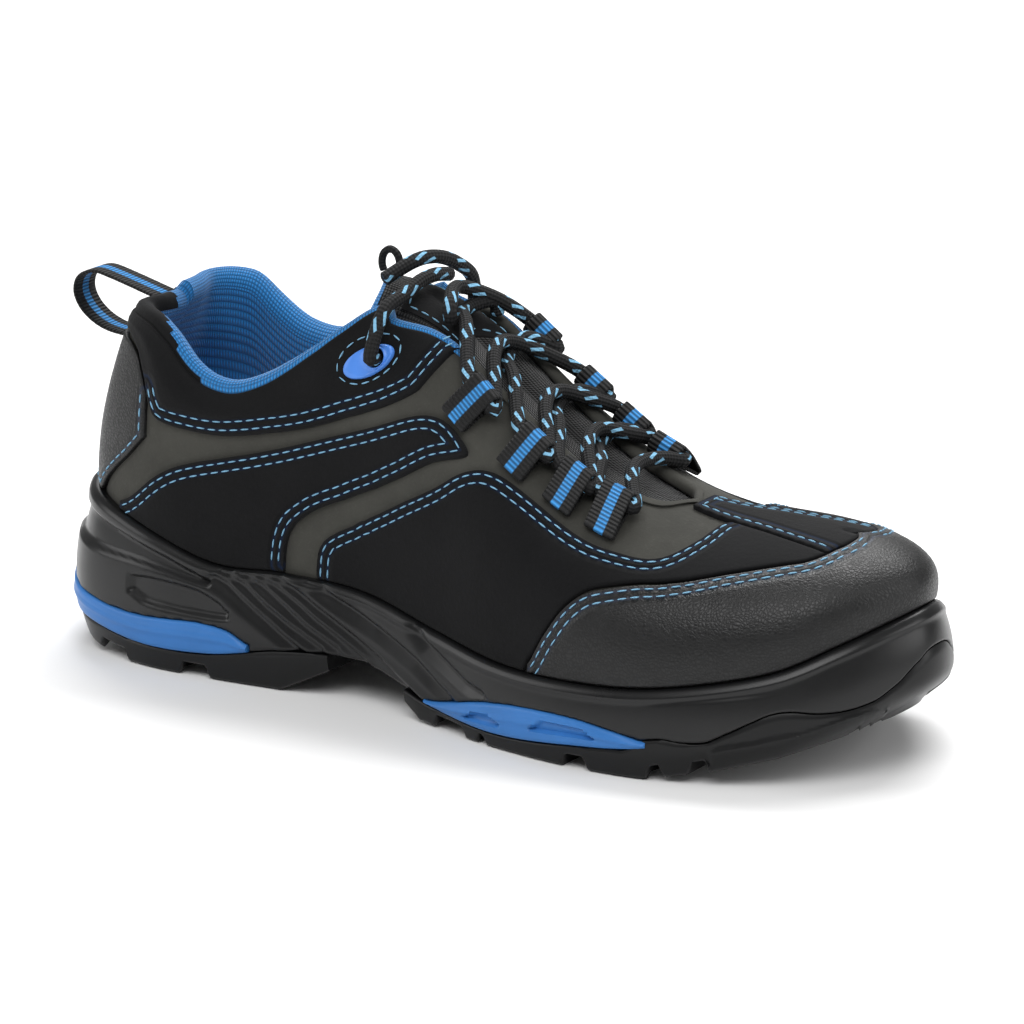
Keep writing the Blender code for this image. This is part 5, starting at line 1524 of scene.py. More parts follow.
def build_panels():
    """The panels sewn on the upper, from the heel to the toe."""
    spacing = sizes().spacing
    first, second = sizes().seam_first, sizes().seam_second
    pair = (first, second)

    positions = fine_ends(even_positions(-COLLAR_PANEL_INNER_END, COLLAR_FRONT, spacing, 0.4))
    patch = Patch(
        positions,
        lambda p: smooth_value(COLLAR_PANEL_LOW, abs(p)),
        lambda p: free_edge(round(p % LOOP, 5)) - PANEL_SEAM,
        OVERLAY,
        swollen,
        plain=lambda p, g: abs(p) < COUNTER_TOP_STATION,
    )
    build_patch("collar_cover", patch, nubuck("nubuck"), "collar_panel",
                {"low": pair, "end": pair, "start": pair})

    positions = fine_ends(even_positions(-COUNTER_LOW[-1][0], COUNTER_LOW[-1][0], spacing, 0.1))
    patch = Patch(
        positions,
        lambda p: table_value(COUNTER_LOW, abs(p)),
        lambda p: smooth_value(COLLAR_PANEL_LOW, abs(p)) - PANEL_SEAM,
        OVERLAY,
    )
    build_patch("heel_cover", patch, grained(), "heel_counter",
                {"low": (first,), "end": (first,), "start": (first,)})

    for side, word in ((-1, "lateral"), (1, "medial")):
        ends = (SIDE_PANEL[0][0], SIDE_PANEL[-1][0])
        stations = even_positions(*ends, spacing) + [row[0] for row in SIDE_CORNER]
        positions = fine_ends(sorted(loop_position(s, side) for s in set(stations)))
        patch = Patch(
            positions,
            lambda p: cornered(SIDE_CORNER, SIDE_PANEL, station_of(p)),
            lambda p: eased(lambda s: smooth_value(SIDE_PANEL, s, 2), station_of(p), SIDE_EASE),
            OVERLAY,
            plain=lambda p, g: g < girth_at_height(p, section(p)["rim"] + SEWN_ABOVE_RIM),
            tip=(-1 if side < 0 else 0, SIDE_TIP),
        )
        seams = {"low": pair, "high": pair, "end": pair, "start": pair}
        build_patch(f"side_cover_{word}", patch, nubuck("nubuck"), f"side_panel_{word}",
                    seams)

        ends = (QUARTER_TOP[0][0], QUARTER_END)
        stations = even_positions(*ends, spacing) + [row[0] for row in QUARTER_CORNER]
        positions = fine_ends(sorted(loop_position(s, side) for s in set(stations)))
        patch = Patch(
            positions,
            lambda p: smooth_value(CAP_EDGE, station_of(p)) + PANEL_SEAM
            if station_of(p) >= CAP_EDGE[0][0] else 0.0,
            quarter_top,
            OVERLAY,
            plain=lambda p, g: station_of(p) > QUARTER_SEWN_END,
        )
        build_patch(f"quarter_cover_{word}", patch, nubuck("nubuck"), f"quarter_panel_{word}",
                    {"high": pair})

    positions = fine_ends(mirrored_positions(CAP_EDGE[0][0], float(LAST_STATION), spacing))
    patch = Patch(
        positions, lambda p: 0.0, lambda p: smooth_value(CAP_EDGE, station_of(p)), CAP_OVERLAY
    )
    build_patch("toe_cover", patch, grained(), "toe_cap", {"high": pair})


@lru_cache(maxsize=None)
def place_over(x, half):
    """The loop position and girth of the skin at x, half to the side of the ridge."""
    side = -1 if half < 0 else 1
    low, high = 8.0, float(LAST_STATION)
    for _ in range(24):
        middle = (low + high) / 2
        position = loop_position(middle, side)
        girth = girth_at_half(position, abs(half))
        if last_point(position, girth).x < x:
            low = middle
        else:
            high = middle
    return position, girth


@lru_cache(maxsize=None)
def cap_edge_x(half):
    """Where the toe cap's edge lies along the shoe, half to the side of the ridge."""
    low, high = CAP_EDGE[0][0], float(LAST_STATION)
    side = -1 if half < 0 else 1
    for _ in range(24):
        middle = (low + high) / 2
        position = loop_position(middle, side)
        point = last_point(position, smooth_value(CAP_EDGE, middle))
        if abs(point.y - section(position)["ridge_y"]) > abs(half):
            low = middle
        else:
            high = middle
    return point.x


def build_strip():
    """The strip down the middle of the vamp, sewn all round."""
    lengths = fine_ends([k / 24 for k in range(25)])
    widths = fine_ends([k / 16 for k in range(17)])

    @lru_cache(maxsize=None)
    def where(share, across):
        half = STRIP_HALF_BACK + (STRIP_HALF_FRONT - STRIP_HALF_BACK) * share
        end = cap_edge_x(max(round(abs(across) * half, 4), 0.006)) - 0.3 * MM
        x = STRIP_START + (end - STRIP_START) * share
        return place_over(round(x, 6), round(across * half, 6))

    def at(share, across, lift=0.0):
        return last_point(*where(share, across), lift)

    fine = [k / 60 for k in range(61)]
    edges = {
        "outer": [(s, -1.0) for s in fine],
        "front": [(1.0, 2 * s - 1) for s in fine],
        "inner": [(1 - s, 1.0) for s in fine],
        "back": [(0.0, 1 - 2 * s) for s in fine],
    }
    near, sewn = {}, {}
    for found, names in ((near, tuple(edges)), (sewn, ("outer", "inner", "back"))):
        tree = search_tree([at(*pair) for name in names for pair in edges[name]])
        for i in range(len(lengths)):
            for j in range(len(widths)):
                found[i, j] = tree.find(at(lengths[i], 2 * widths[j] - 1))[2]

    def outer(i, j):
        return at(lengths[i], 2 * widths[j] - 1, panel_lift(OVERLAY, near[i, j]))

    def inner(i, j):
        return at(lengths[i], 2 * widths[j] - 1, PANEL_BACK)

    shape = sheet_form(
        len(lengths) - 1, len(widths) - 1, outer, inner, layers=[("edge", lambda i, j: sewn[i, j])]
    )
    finish_piece("vamp_cover", shape, [nubuck("nubuck")], ["vamp_strip"])
    if not sizes().stitched:
        return
    first, second = sizes().seam_first, sizes().seam_second
    for offset, sign in ((first, -1), (first, 1), (second, 1)):
        halves = [
            (s, STRIP_HALF_BACK + (STRIP_HALF_FRONT - STRIP_HALF_BACK) * s) for s in fine[2:-2]
        ]
        sew_places([where(s, sign * (1 - offset / half)) for s, half in halves])
    sew_places([where(0.05, 2 * k / 40 - 1) for k in range(3, 38)])


def build_stitches():
    """All the seams' stitches, as one piece."""
    shape = bmesh.new()
    for run in STITCH_RUNS:
        part = bmesh.new()
        stitch_along(part, run)
        mesh = bpy.data.meshes.new("run")
        part.to_mesh(mesh)
        part.free()
        shape.from_mesh(mesh)
        bpy.data.meshes.remove(mesh)
    STITCH_RUNS.clear()
    finish_piece("stitches", shape, [thread()], welded=False)


def build_tongue():
    """The padded tongue, rounded at its edges."""
    stations = fine_ends([TONGUE_STATIONS[0] + (TONGUE_STATIONS[1] - TONGUE_STATIONS[0]) * k / 44
                          for k in range(45)])
    shares = fine_ends([-1 + 2 * k / 28 for k in range(29)])
    half = TONGUE_THICKNESS / 2
    middle = TONGUE_GAP + half
    lengths = running_lengths([tongue_point(s, 0.05, 0.0) for s in stations])

    def put(sign):
        def place(i, j):
            near = min((1 - abs(shares[j])) * TONGUE_HALF_WIDTH, lengths[i],
                       lengths[-1] - lengths[i])
            stand = half * rounded(near, 3.2 * MM)
            return tongue_point(stations[i], shares[j], middle - sign * stand)
        return place

    shape = sheet_form(
        len(stations) - 1, len(shares) - 1, put(1), put(-1),
        uv=lambda i, j: (lengths[i], shares[j] * TONGUE_HALF_WIDTH),
    )
    column = shape.verts.layers.int["column"]
    row = shape.verts.layers.int["row"]
    for face in shape.faces:
        side = max(min(1 - abs(shares[v[row]]) for v in face.verts), 0.0) * TONGUE_HALF_WIDTH
        top = min(lengths[v[column]] for v in face.verts)
        if min(side, top) < 1.6 * MM and top < 60 * MM:
            face.material_index = 1
    made = finish_piece("tongue_pad", shape, [knit("mesh", 0.9 * MM), knit("lining", 0.8 * MM)],
                        ["tongue"])


# The bare label on the tongue: its stations along the tongue, and its shares across it.
LABEL = (6.55, 7.45, -0.62, 0.62)
LABEL_INSET = 0.07


def build_label():
    """A bare black label sewn on the tongue."""
    top = TONGUE_GAP - 0.5 * MM
    start, end, left, right = LABEL
    stations = fine_ends([start + (end - start) * k / 16 for k in range(17)])
    shares = fine_ends([left + (right - left) * k / 12 for k in range(13)])

    def outer(i, j):
        return tongue_point(stations[i], shares[j], top)

    def inner(i, j):
        return tongue_point(stations[i], shares[j], top + 0.9 * MM)

    shape = sheet_form(
        len(stations) - 1, len(shares) - 1, outer, inner,
        # Far from any seam: no painted seam shade and no painted edge highlight on the label.
        layers=[("edge", lambda i, j: FAR_FROM_SEAM)],
    )
    finish_piece("tongue_label", shape, [nubuck("nubuck")])
    inset = LABEL_INSET
    corners = (
        (start + inset, left + inset), (end - inset, left + inset), (end - inset, right - inset),
        (start + inset, right - inset), (start + inset, left + inset),
    )
    for (s1, a1), (s2, a2) in zip(corners, corners[1:]):
        run = []
        for k in range(25):
            station, share = s1 + (s2 - s1) * k / 24, a1 + (a2 - a1) * k / 24
            point = tongue_point(station, share, top)
            out = (point - tongue_point(station, share, top + 1 * MM)).normalized()
            run.append((point, out))
        STITCH_RUNS.append(run)


def ring_form(profile, spacing):
    """A closed body round the shoe: profile(position) gives a column's points, first and last
    of them on the middle line, where the two sides meet."""
    positions = closed_positions(spacing)
    columns = [profile(position) for position in positions[:-1]]
    columns.append(columns[0])
    rows = len(columns[0]) - 1
    shape = sheet_form(len(columns) - 1, rows, lambda i, j: columns[i][j])
    weld(shape, 5e-6)
    return shape


def across_to_middle(position, inset, z, shares):
    """Points from an inset edge towards the middle line, the last one on it."""
    partner = (LOOP - position) % LOOP
    a = sole_edge(position, inset, z)
    b = sole_edge(partner, inset, z)
    middle = (a + b) / 2
    return [a.lerp(middle, share) for share in shares]


def sole_share(position):
    """Share of the sole's length at a loop position."""
    return (section(position)["x"] + HEEL_TO_ORIGIN) / SOLE_LENGTH


# The furrows of the sole's waist: share of the sole's length, and of the heel cup's height.
FURROWS = (
    ((0.211, 0.60), (0.226, 0.565), (0.248, 0.479), (0.293, 0.320), (0.315, 0.250)),
    ((0.225, 0.64), (0.247, 0.569), (0.271, 0.474), (0.296, 0.397), (0.336, 0.292)),
    ((0.246, 0.65), (0.270, 0.575), (0.295, 0.488), (0.319, 0.400), (0.355, 0.308)),
    ((0.262, 0.66), (0.282, 0.595), (0.307, 0.525), (0.331, 0.443), (0.356, 0.373), (0.392, 0.266)),
    ((0.281, 0.66), (0.306, 0.592), (0.331, 0.516), (0.381, 0.384), (0.407, 0.314), (0.435, 0.226),
     (0.469, 0.130)),
    ((0.325, 0.67), (0.354, 0.585), (0.380, 0.536), (0.407, 0.480), (0.435, 0.419), (0.463, 0.352),
     (0.492, 0.263), (0.518, 0.185)),
    ((0.462, 0.53), (0.477, 0.457), (0.504, 0.390), (0.534, 0.318), (0.556, 0.290)),
)
FURROW_DEPTH = 1.35 * MM
FURROW_WIDTHS = (1.0 * MM, 2.8 * MM)


def furrow_depth(share, height):
    """Depth of the furrows: steep on their upper side, and a long slope below."""
    x, y = share * SOLE_LENGTH, height * HEEL_CUP_HEIGHT
    deepest = 0.0
    for line in FURROWS:
        if not line[0][0] - 0.03 < share < line[-1][0] + 0.03:
            continue
        best = None
        for (s1, h1), (s2, h2) in zip(line, line[1:]):
            ax, ay = s1 * SOLE_LENGTH, h1 * HEEL_CUP_HEIGHT
            dx, dy = s2 * SOLE_LENGTH - ax, h2 * HEEL_CUP_HEIGHT - ay
            along = min(max(((x - ax) * dx + (y - ay) * dy) / (dx * dx + dy * dy), 0.0), 1.0)
            away = math.hypot(x - ax - along * dx, y - ay - along * dy)
            if best is None or away < best[0]:
                best = (away, dx * (y - ay) - dy * (x - ax))
        width = FURROW_WIDTHS[0] if best[1] > 0 else FURROW_WIDTHS[1]
        deepest = max(deepest, FURROW_DEPTH * math.exp(-((best[0] / width) ** 2)))
    return deepest


def pod_depth(share, height):
    """Depth of the recessed pods at the heel's side."""
    deepest = 0.0
    for table in (UPPER_POD, LOWER_POD):
        if not table[0][0] <= share <= table[-1][0]:
            continue
        low, high = smooth_value(table, share, 1), smooth_value(table, share, 2)
        inside = min(height - low, high - height) * HEEL_CUP_HEIGHT
        end = (table[-1][0] - share) * SOLE_LENGTH
        if table[0][0] > 0:
            end = min(end, (share - table[0][0]) * SOLE_LENGTH)
        deepest = max(deepest, 1.3 * POD_DEPTH * smoothstep(-0.9 * MM, 1.1 * MM, min(inside, end)))
    return deepest


def insert_top(share):
    """Height of the insert's top edge at a share of the length, or 0 where there is none."""
    for table in (HEEL_INSERT_TOP, FOREFOOT_INSERT_TOP):
        if table[0][0] <= share <= table[-1][0]:
            return smooth_value(table, share) * HEEL_CUP_HEIGHT
    return 0.0


# Height of the line between midsole and tread round the toe, as a share of the heel cup's.
TOE_LINE = (
    (0.700, 0.0), (0.735, 0.185), (0.760, 0.238), (0.784, 0.234), (0.807, 0.248), (0.825, 0.299),
    (0.850, 0.375), (0.867, 0.423), (0.882, 0.437), (0.902, 0.426), (0.920, 0.434), (0.936, 0.471),
    (0.948, 0.548), (0.958, 0.645), (0.963, 0.704),
)


def side_line(position):
    """Height of the tread's top edge on the sole's side."""
    row = section(position)
    share = sole_share(position)
    blend = smoothstep(0.715, 0.745, share)
    return row["interface"] * (1 - blend) + smooth_value(TOE_LINE, share) * HEEL_CUP_HEIGHT * blend


# A raised bead round the sole, just under its rim.
BEAD_DEPTH = 0.55 * MM
BEAD_BELOW_RIM = 2.2 * MM
BEAD_WIDTH = 1.1 * MM


def build_midsole():
    """The foam midsole, with its furrows, pods and rounded rim, and the cup for the foot."""
    side_rows = [k / 44 for k in range(45)]

    def profile(position):
        row = section(position)
        low = row["interface"] + 1.3 * GAP
        core = min(row["core"] + 1.3 * GAP, low)
        rim = row["rim"]
        share = sole_share(position)
        top = insert_top(share)
        points = across_to_middle(position, TREAD_STEP + 1 * MM, core, (1.0, 0.66, 0.33, 0.0))
        points.append(sole_edge(position, TREAD_STEP, low))
        low = side_line(position) + 1.3 * GAP
        for up in side_rows:
            z = low + (rim - low) * up
            height = z / HEEL_CUP_HEIGHT
            near_rim = rim - z
            out = -furrow_depth(share, height) * smoothstep(0.2 * MM, 1.6 * MM, near_rim)
            out -= pod_depth(share, height)
            out += BEAD_DEPTH * math.exp(-(((near_rim - BEAD_BELOW_RIM) / BEAD_WIDTH) ** 2))
            out -= 1.1 * MM * (1 - rounded(near_rim, 1.3 * MM))
            out -= 0.5 * MM * (1 - rounded(z - low, 0.8 * MM))
            crest = abs(share - 0.81) / 0.065
            if crest < 1:
                ledge = (0.36 + 0.95 * (share - 0.69)) * HEEL_CUP_HEIGHT
                out += 0.45 * MM * (1 - crest * crest) * smoothstep(1.2 * MM, -0.6 * MM, z - ledge)
            if top:
                out -= 1.6 * MM * smoothstep(-0.5 * MM, 0.4 * MM, top - z)
            points.append(sole_wall(position, z, out))
        points.append(sole_edge(position, RIM_THICKNESS * 0.62, rim))
        points.append(sole_edge(position, RIM_THICKNESS, rim - 0.25 * MM))
        points.append(sole_edge(position, RIM_THICKNESS, row["footbed"]))
        points += across_to_middle(position, RIM_THICKNESS, row["footbed"], (0.1, 0.5, 1.0))
        return points

    shape = ring_form(profile, 0.8 * MM)
    finish_piece("midsole_body", shape, [moulded("Black foam", "foam", 0.33, 0.3)], ["midsole"])


def build_inserts():
    """Blue foam let into the sole's side: round the heel, and on each side of the ball."""
    rows = fine_ends([k / 12 for k in range(13)])
    spans = [
        ("heel_blue", "heel_insert", HEEL_INSERT_TOP, 0),
        ("ball_blue_lateral", "forefoot_insert_lateral", FOREFOOT_INSERT_TOP, -1),
        ("ball_blue_medial", "forefoot_insert_medial", FOREFOOT_INSERT_TOP, 1),
    ]
    for name, node, table, side in spans:
        stations = [s / 40 for s in range(LAST_STATION * 40 + 1)]
        inside = [s for s in stations if table[0][0] <= sole_share(s) <= table[-1][0]]
        if side:
            positions = sorted(loop_position(s, side) for s in inside)
        else:
            positions = [-s for s in reversed(inside)] + inside[1:]
        positions = fine_ends(positions)
        lines = running_lengths([sole_wall(p % LOOP, section(p % LOOP)["rim"] / 2)
                                 for p in positions])

        def place(push):
            def put(i, j):
                position = round(positions[i] % LOOP, 6)
                share = min(max(sole_share(position), table[0][0]), table[-1][0])
                low = section(position)["interface"] + GAP
                high = max(smooth_value(table, share) * HEEL_CUP_HEIGHT, low + INSERT_TIP)
                z = low + (high - low) * rows[j]
                near = min(z - low, high - z)
                if side:
                    near = min(near, lines[i], lines[-1] - lines[i])
                stand = INSERT_PROUD * (rounded(near, 1.3 * MM) * 1.6 - 0.6)
                ridge = (rows[j] - 0.56) * (high - low)
                stand += 0.5 * MM * math.exp(-((ridge / (0.7 * MM)) ** 2)) * rounded(near, 3 * MM)
                if side:
                    stand -= window_depth(share, rows[j])
                return sole_wall(position, z, stand if push else -3.2 * MM)
            return put

        shape = sheet_form(len(positions) - 1, len(rows) - 1, place(True), place(False))
        finish_piece(name, shape, [moulded("Blue foam", "insert", 0.4, 0.1)], [node])


# Recessed windows of the forefoot inserts: share of the length at both ends, and of the height.
WINDOWS = ((0.532, 0.584, 0.30, 0.62), (0.618, 0.700, 0.36, 0.70))


def window_depth(share, up):
    """Depth of a forefoot insert's windows at a share of its length and height."""
    deepest = 0.0
    for start, end, low, high in WINDOWS:
        slant = (up - low) * 0.05
        inside = min(share - start - slant, end - slant - share) * SOLE_LENGTH
        inside = min(inside, (up - low) * 12 * MM, (high - up) * 12 * MM)
        deepest = max(deepest, 1.7 * MM * smoothstep(-0.3 * MM, 0.7 * MM, inside))
    return deepest


# Gaps between the tread's lugs where they reach the side: shares of the sole's length.
SIDE_GAPS = (
    (0.060, 0.098), (0.168, 0.202), (0.489, 0.531), (0.550, 0.560), (0.658, 0.685), (0.750, 0.765),
    (0.791, 0.809), (0.928, 0.932), (0.936, 0.939), (0.943, 0.946),
)
SIDE_GAP_RISE = 4.2 * MM
# Top edge of the raised lugs on the side of the toe, as a share of the heel cup's height.
LUG_LINE = (
    (0.808, 0.0), (0.812, 0.195), (0.818, 0.224), (0.853, 0.272), (0.888, 0.326), (0.915, 0.392),
    (0.936, 0.434), (0.945, 0.40), (0.947, 0.0),
)


def gap_height(share):
    """How far a gap between two lugs rises at the sole's side."""
    deepest = 0.0
    for start, end in SIDE_GAPS:
        inside = min(share - start, end - share) * SOLE_LENGTH
        deepest = max(deepest, SIDE_GAP_RISE * smoothstep(-0.5 * MM, 0.9 * MM, inside))
    return deepest


def groove_cut(point, grooves):
    """How deep the tread's grooves cut at a point."""
    cut = 0.0
    for along, angle, width in grooves:
        centre = along * SOLE_LENGTH - HEEL_TO_ORIGIN
        centre += abs(point.y) * math.tan(math.radians(angle))
        away = abs(point.x - centre)
        cut = max(cut, GROOVE_DEPTH * (1 - smoothstep(width * 0.32 * MM, width * 0.62 * MM, away)))
    return cut


def build_tread():
    """The rubber tread: one piece under the heel and one under the forefoot and toe."""
    parts = (
        ("tread_heel", "outsole_heel", HEEL_GROOVES, None, HEEL_TREAD_END),
        ("tread_forefoot", "outsole_forefoot", FOREFOOT_GROOVES, FOREFOOT_TREAD_START, None),
    )
    for name, node, grooves, start, end in parts:
        def profile(position):
            row = section(position)
            high = row["interface"]
            core = min(row["core"], high)
            inset = row["tuck"] - row["flare"]
            low_point = sole_edge(position, inset, 0)
            share = sole_share(position)
            low = ground(low_point.x)
            low = min(low + gap_height(share), max(high - TREAD_LEAST, low))
            low = min(low, high - TREAD_LEAST)
            points = across_to_middle(position, TREAD_STEP + 1 * MM, core, (1.0, 0.5, 0.0))
            points.append(sole_edge(position, TREAD_STEP, high))
            top = max(side_line(position), low + TREAD_LEAST)
            lug = table_value(LUG_LINE, share) * HEEL_CUP_HEIGHT
            points.append(sole_wall(position, top, -0.9 * MM))
            for k in range(15):
                z = top + (low - top) * k / 14
                out = -0.5 * MM * (1 - rounded(top - z, 0.8 * MM))
                out -= 1.0 * MM * (1 - rounded(z - low, 1.0 * MM))
                if lug:
                    out += 0.9 * MM * smoothstep(0.5 * MM, -0.5 * MM, z - lug)
                points.append(sole_wall(position, z, out))
            for inwards in (0.06, 0.14, 0.22, 0.32, 0.42, 0.52, 0.62, 0.72, 0.82, 0.92, 1.0):
                a = sole_edge(position, inset + 1 * MM, 0)
                b = sole_edge((LOOP - position) % LOOP, inset + 1 * MM, 0)
                point = a.lerp((a + b) / 2, inwards)
                under = min(ground(point.x), core - TREAD_LEAST)
                gap = gap_height(share) * (1 - smoothstep(0.22, 0.42, inwards))
                lift = max(groove_cut(point, grooves), gap)
                lift = min(lift, max(core - TREAD_LEAST - under, 0.0))
                points.append(Vector((point.x, point.y, under + lift)))
            return points

        shape = ring_form(profile, 1.0 * MM)
        for share, sign in ((start, -1), (end, 1)):
            if share is None:
                continue
            x = share * SOLE_LENGTH - HEEL_TO_ORIGIN
            bmesh.ops.bisect_plane(
                shape, geom=shape.verts[:] + shape.edges[:] + shape.faces[:], dist=1e-6,
                plane_co=(x, 0, 0), plane_no=(sign, 0, 0), clear_outer=True,
            )
            rim = [e for e in shape.edges if len(e.link_faces) == 1]
            bmesh.ops.triangle_fill(shape, use_beauty=True, edges=rim)
        finish_piece(name, shape, [moulded("Black rubber", "rubber", 0.36, 0.1)], [node])


def build_insole():
    """The footbed's cloth cover, rounded at its edge."""
    inset = RIM_THICKNESS + GAP + UPPER_WALL + GAP

    def profile(position):
        row = section(position)
        low = row["footbed"] + GAP
        high = low + INSOLE_THICKNESS
        points = across_to_middle(position, inset, low, (1.0, 0.5, 0.0))
        points.append(sole_edge(position, inset, high - 1.2 * MM))
        points.append(sole_edge(position, inset + 0.4 * MM, high - 0.35 * MM))
        points += across_to_middle(position, inset + 1.2 * MM, high, (0.0, 0.35, 0.7, 1.0))
        return points

    shape = ring_form(profile, 3 * MM)
    pattern = shape.loops.layers.uv.new("Pattern")
    for face in shape.faces:
        for corner in face.loops:
            corner[pattern].uv = (corner.vert.co.x, corner.vert.co.y)
    finish_piece("footbed_cover", shape, [knit("lining")], ["insole"])


def loop_place(row, share, side):
    """Loop position and girth at a share of the way up a lace loop."""
    station, low, high, turn = row
    shift, rise = MEDIAL_LOOP_SHIFT if side > 0 else (0.0, 0.0)
    return loop_position(station + turn * share + shift, side), low + (high - low) * share + rise


def loop_centre(row, side):
    """Where the lace runs through a loop, with the loop's own directions."""
    point, along, up, out, _, _ = skin_frame(*loop_place(row, LOOP_SEAT, side))
    return point + out * (LOOP_LIFT + WEBBING_THICKNESS / 2 + LOOP_TURN), along, up, out


def build_lace_loops():
    """Webbing folded round the lace, four on each side of the throat."""
    bottom = LOOP_LIFT + WEBBING_THICKNESS / 2
    for side, word in ((-1, "lateral"), (1, "medial")):
        for k, row in enumerate(LACE_LOOPS):
            centre, along, up, out = loop_centre(row, side)
            low = skin_frame(*loop_place(row, 0.0, side))
            half = skin_frame(*loop_place(row, 0.45, side))
            path = [low[0] + low[3] * bottom, half[0] + half[3] * bottom]
            for angle in range(-90, 91, 15):
                a = math.radians(angle)
                path.append(centre + (up * math.cos(a) + out * math.sin(a)) * LOOP_TURN)
            end = low[0] + low[3] * (bottom + WEBBING_THICKNESS + 1.5 * GAP)
            path.append(path[-1].lerp(end, 0.45) + out * 0.5 * MM)
            path += [end, low[0] + low[3] * (bottom + WEBBING_THICKNESS * 0.9) - low[2] * 0.9 * MM]
            path = even_path(smooth_path(path + [path[0]], 4), 0.8 * MM)
            across = [along * (WEBBING_WIDTH * 0.43)] * len(path)
            strap(f"webbing_{word}_{k + 1}", path, across, WEBBING_THICKNESS, [ribbed_webbing()],
                  [f"lace_loop_{word}_{k + 1}"])


def throat_point(station, side, share, lift):
    """A point over the throat: share 0 is its middle line, 1 an eyestay's edge."""
    position = loop_position(station, side)
    half = THROAT_HALF_WIDTH * share * (THROAT_INNER_SHARE if side > 0 else 1.0)
    girth = 1.0 if share == 0 else girth_at_half(position, half)
    return last_point(position, girth, lift)


def lace_half(side, over):
    """The lace from the tongue's top on one side, through the loops, to the last loop's front."""
    low = LACE_DIAMETER / 2 - UPPER_WALL - TONGUE_GAP + 2.4 * MM
    position = loop_position(LACE_TOP_STATION, side)
    girth = girth_at_half(position, THROAT_HALF_WIDTH * 0.65)
    path = [last_point(position, girth, -(UPPER_WALL + TONGUE_GAP - LACE_DIAMETER / 2 - 1.2 * MM))]
    start = LACE_TOP_STATION
    for row in LACE_LOOPS:
        side = -side
        station = station_of(loop_place(row, LOOP_SEAT, side)[0])
        end = station - LACE_REACH_STATIONS
        middle = low + LACE_DIAMETER + 0.8 * MM if over else low
        edge = max((middle + EDGE_LIFT) / 2, EDGE_LIFT - 0.8 * MM)
        path += [
            throat_point(start * 0.75 + end * 0.25, -side, 0.6, edge),
            throat_point((start + end) / 2, -side, 0.0, middle),
            throat_point(start * 0.25 + end * 0.75, side, 0.6, edge),
        ]
        centre, along, _, _ = loop_centre(row, side)
        path += [centre + along * reach * MM for reach in (-6.5, 0, 6.5)]
        start, over = station + LACE_REACH_STATIONS, not over
    return path


def build_lace():
    """The lace: down through the loops in crossings, across, and up again."""
    down, up = lace_half(-1, True), lace_half(1, False)
    station = station_of(loop_place(LACE_LOOPS[-1], LOOP_SEAT, -1)[0]) + LACE_REACH_STATIONS
    first = -1 if down[-1].y < 0 else 1
    bar = [throat_point(station, turn, 0.4, EDGE_LIFT) for turn in (first, -first)]
    path = even_path(smooth_path(down + bar + up[::-1], 8), 1.3 * MM)
    tube("lace_cord", path, LACE_DIAMETER / 2, sizes().lace_sides, [braid()], ["lace"])


def eyelet_shift(along, across):
    """Ahead and up the skin from an eyelet's middle: along its length and across it."""
    turn = math.radians(EYELET_TURN)
    ahead = along * math.cos(turn) - across * math.sin(turn)
    return ahead, along * math.sin(turn) + across * math.cos(turn)


def eyelet_place(side, along, across):
    """The loop position and girth of a place by an eyelet."""
    station, girth = EYELET_PLACE
    return step_on_skin(loop_position(station, side), girth, *eyelet_shift(along, across))


def eyelet_point(side, along, across, lift):
    """A point by an eyelet, from its middle: along its length, across it, and off the skin."""
    station, girth = EYELET_PLACE
    return skin_place(loop_position(station, side), girth, *eyelet_shift(along, across), lift)


def build_lace_ends():
    """The lace's two ends: out of the eyelets, over the tongue and down inside."""
    for name, side, route in (("lace_end_1", -1, END_OVER), ("lace_end_2", 1, END_UNDER)):
        hole = eyelet_point(side, EYELET_OFFSET, 0, EYELET_LIFT + 0.3 * MM)
        rise = eyelet_point(side, EYELET_OFFSET, 0, EYELET_LIFT + 4.2 * MM)
        path = even_path(smooth_path([hole, rise] + [Vector(p) * MM for p in route], 8), 1.3 * MM)
        made = tube(name.replace("lace_end", "lace_tail"), path, LACE_DIAMETER / 2,
                    sizes().lace_sides, [braid()], [name])
        length = running_lengths(path)[-1]
        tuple(path[0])


EYELET_SLIM = 0.82
EYELET_SEAM = 2.2 * MM


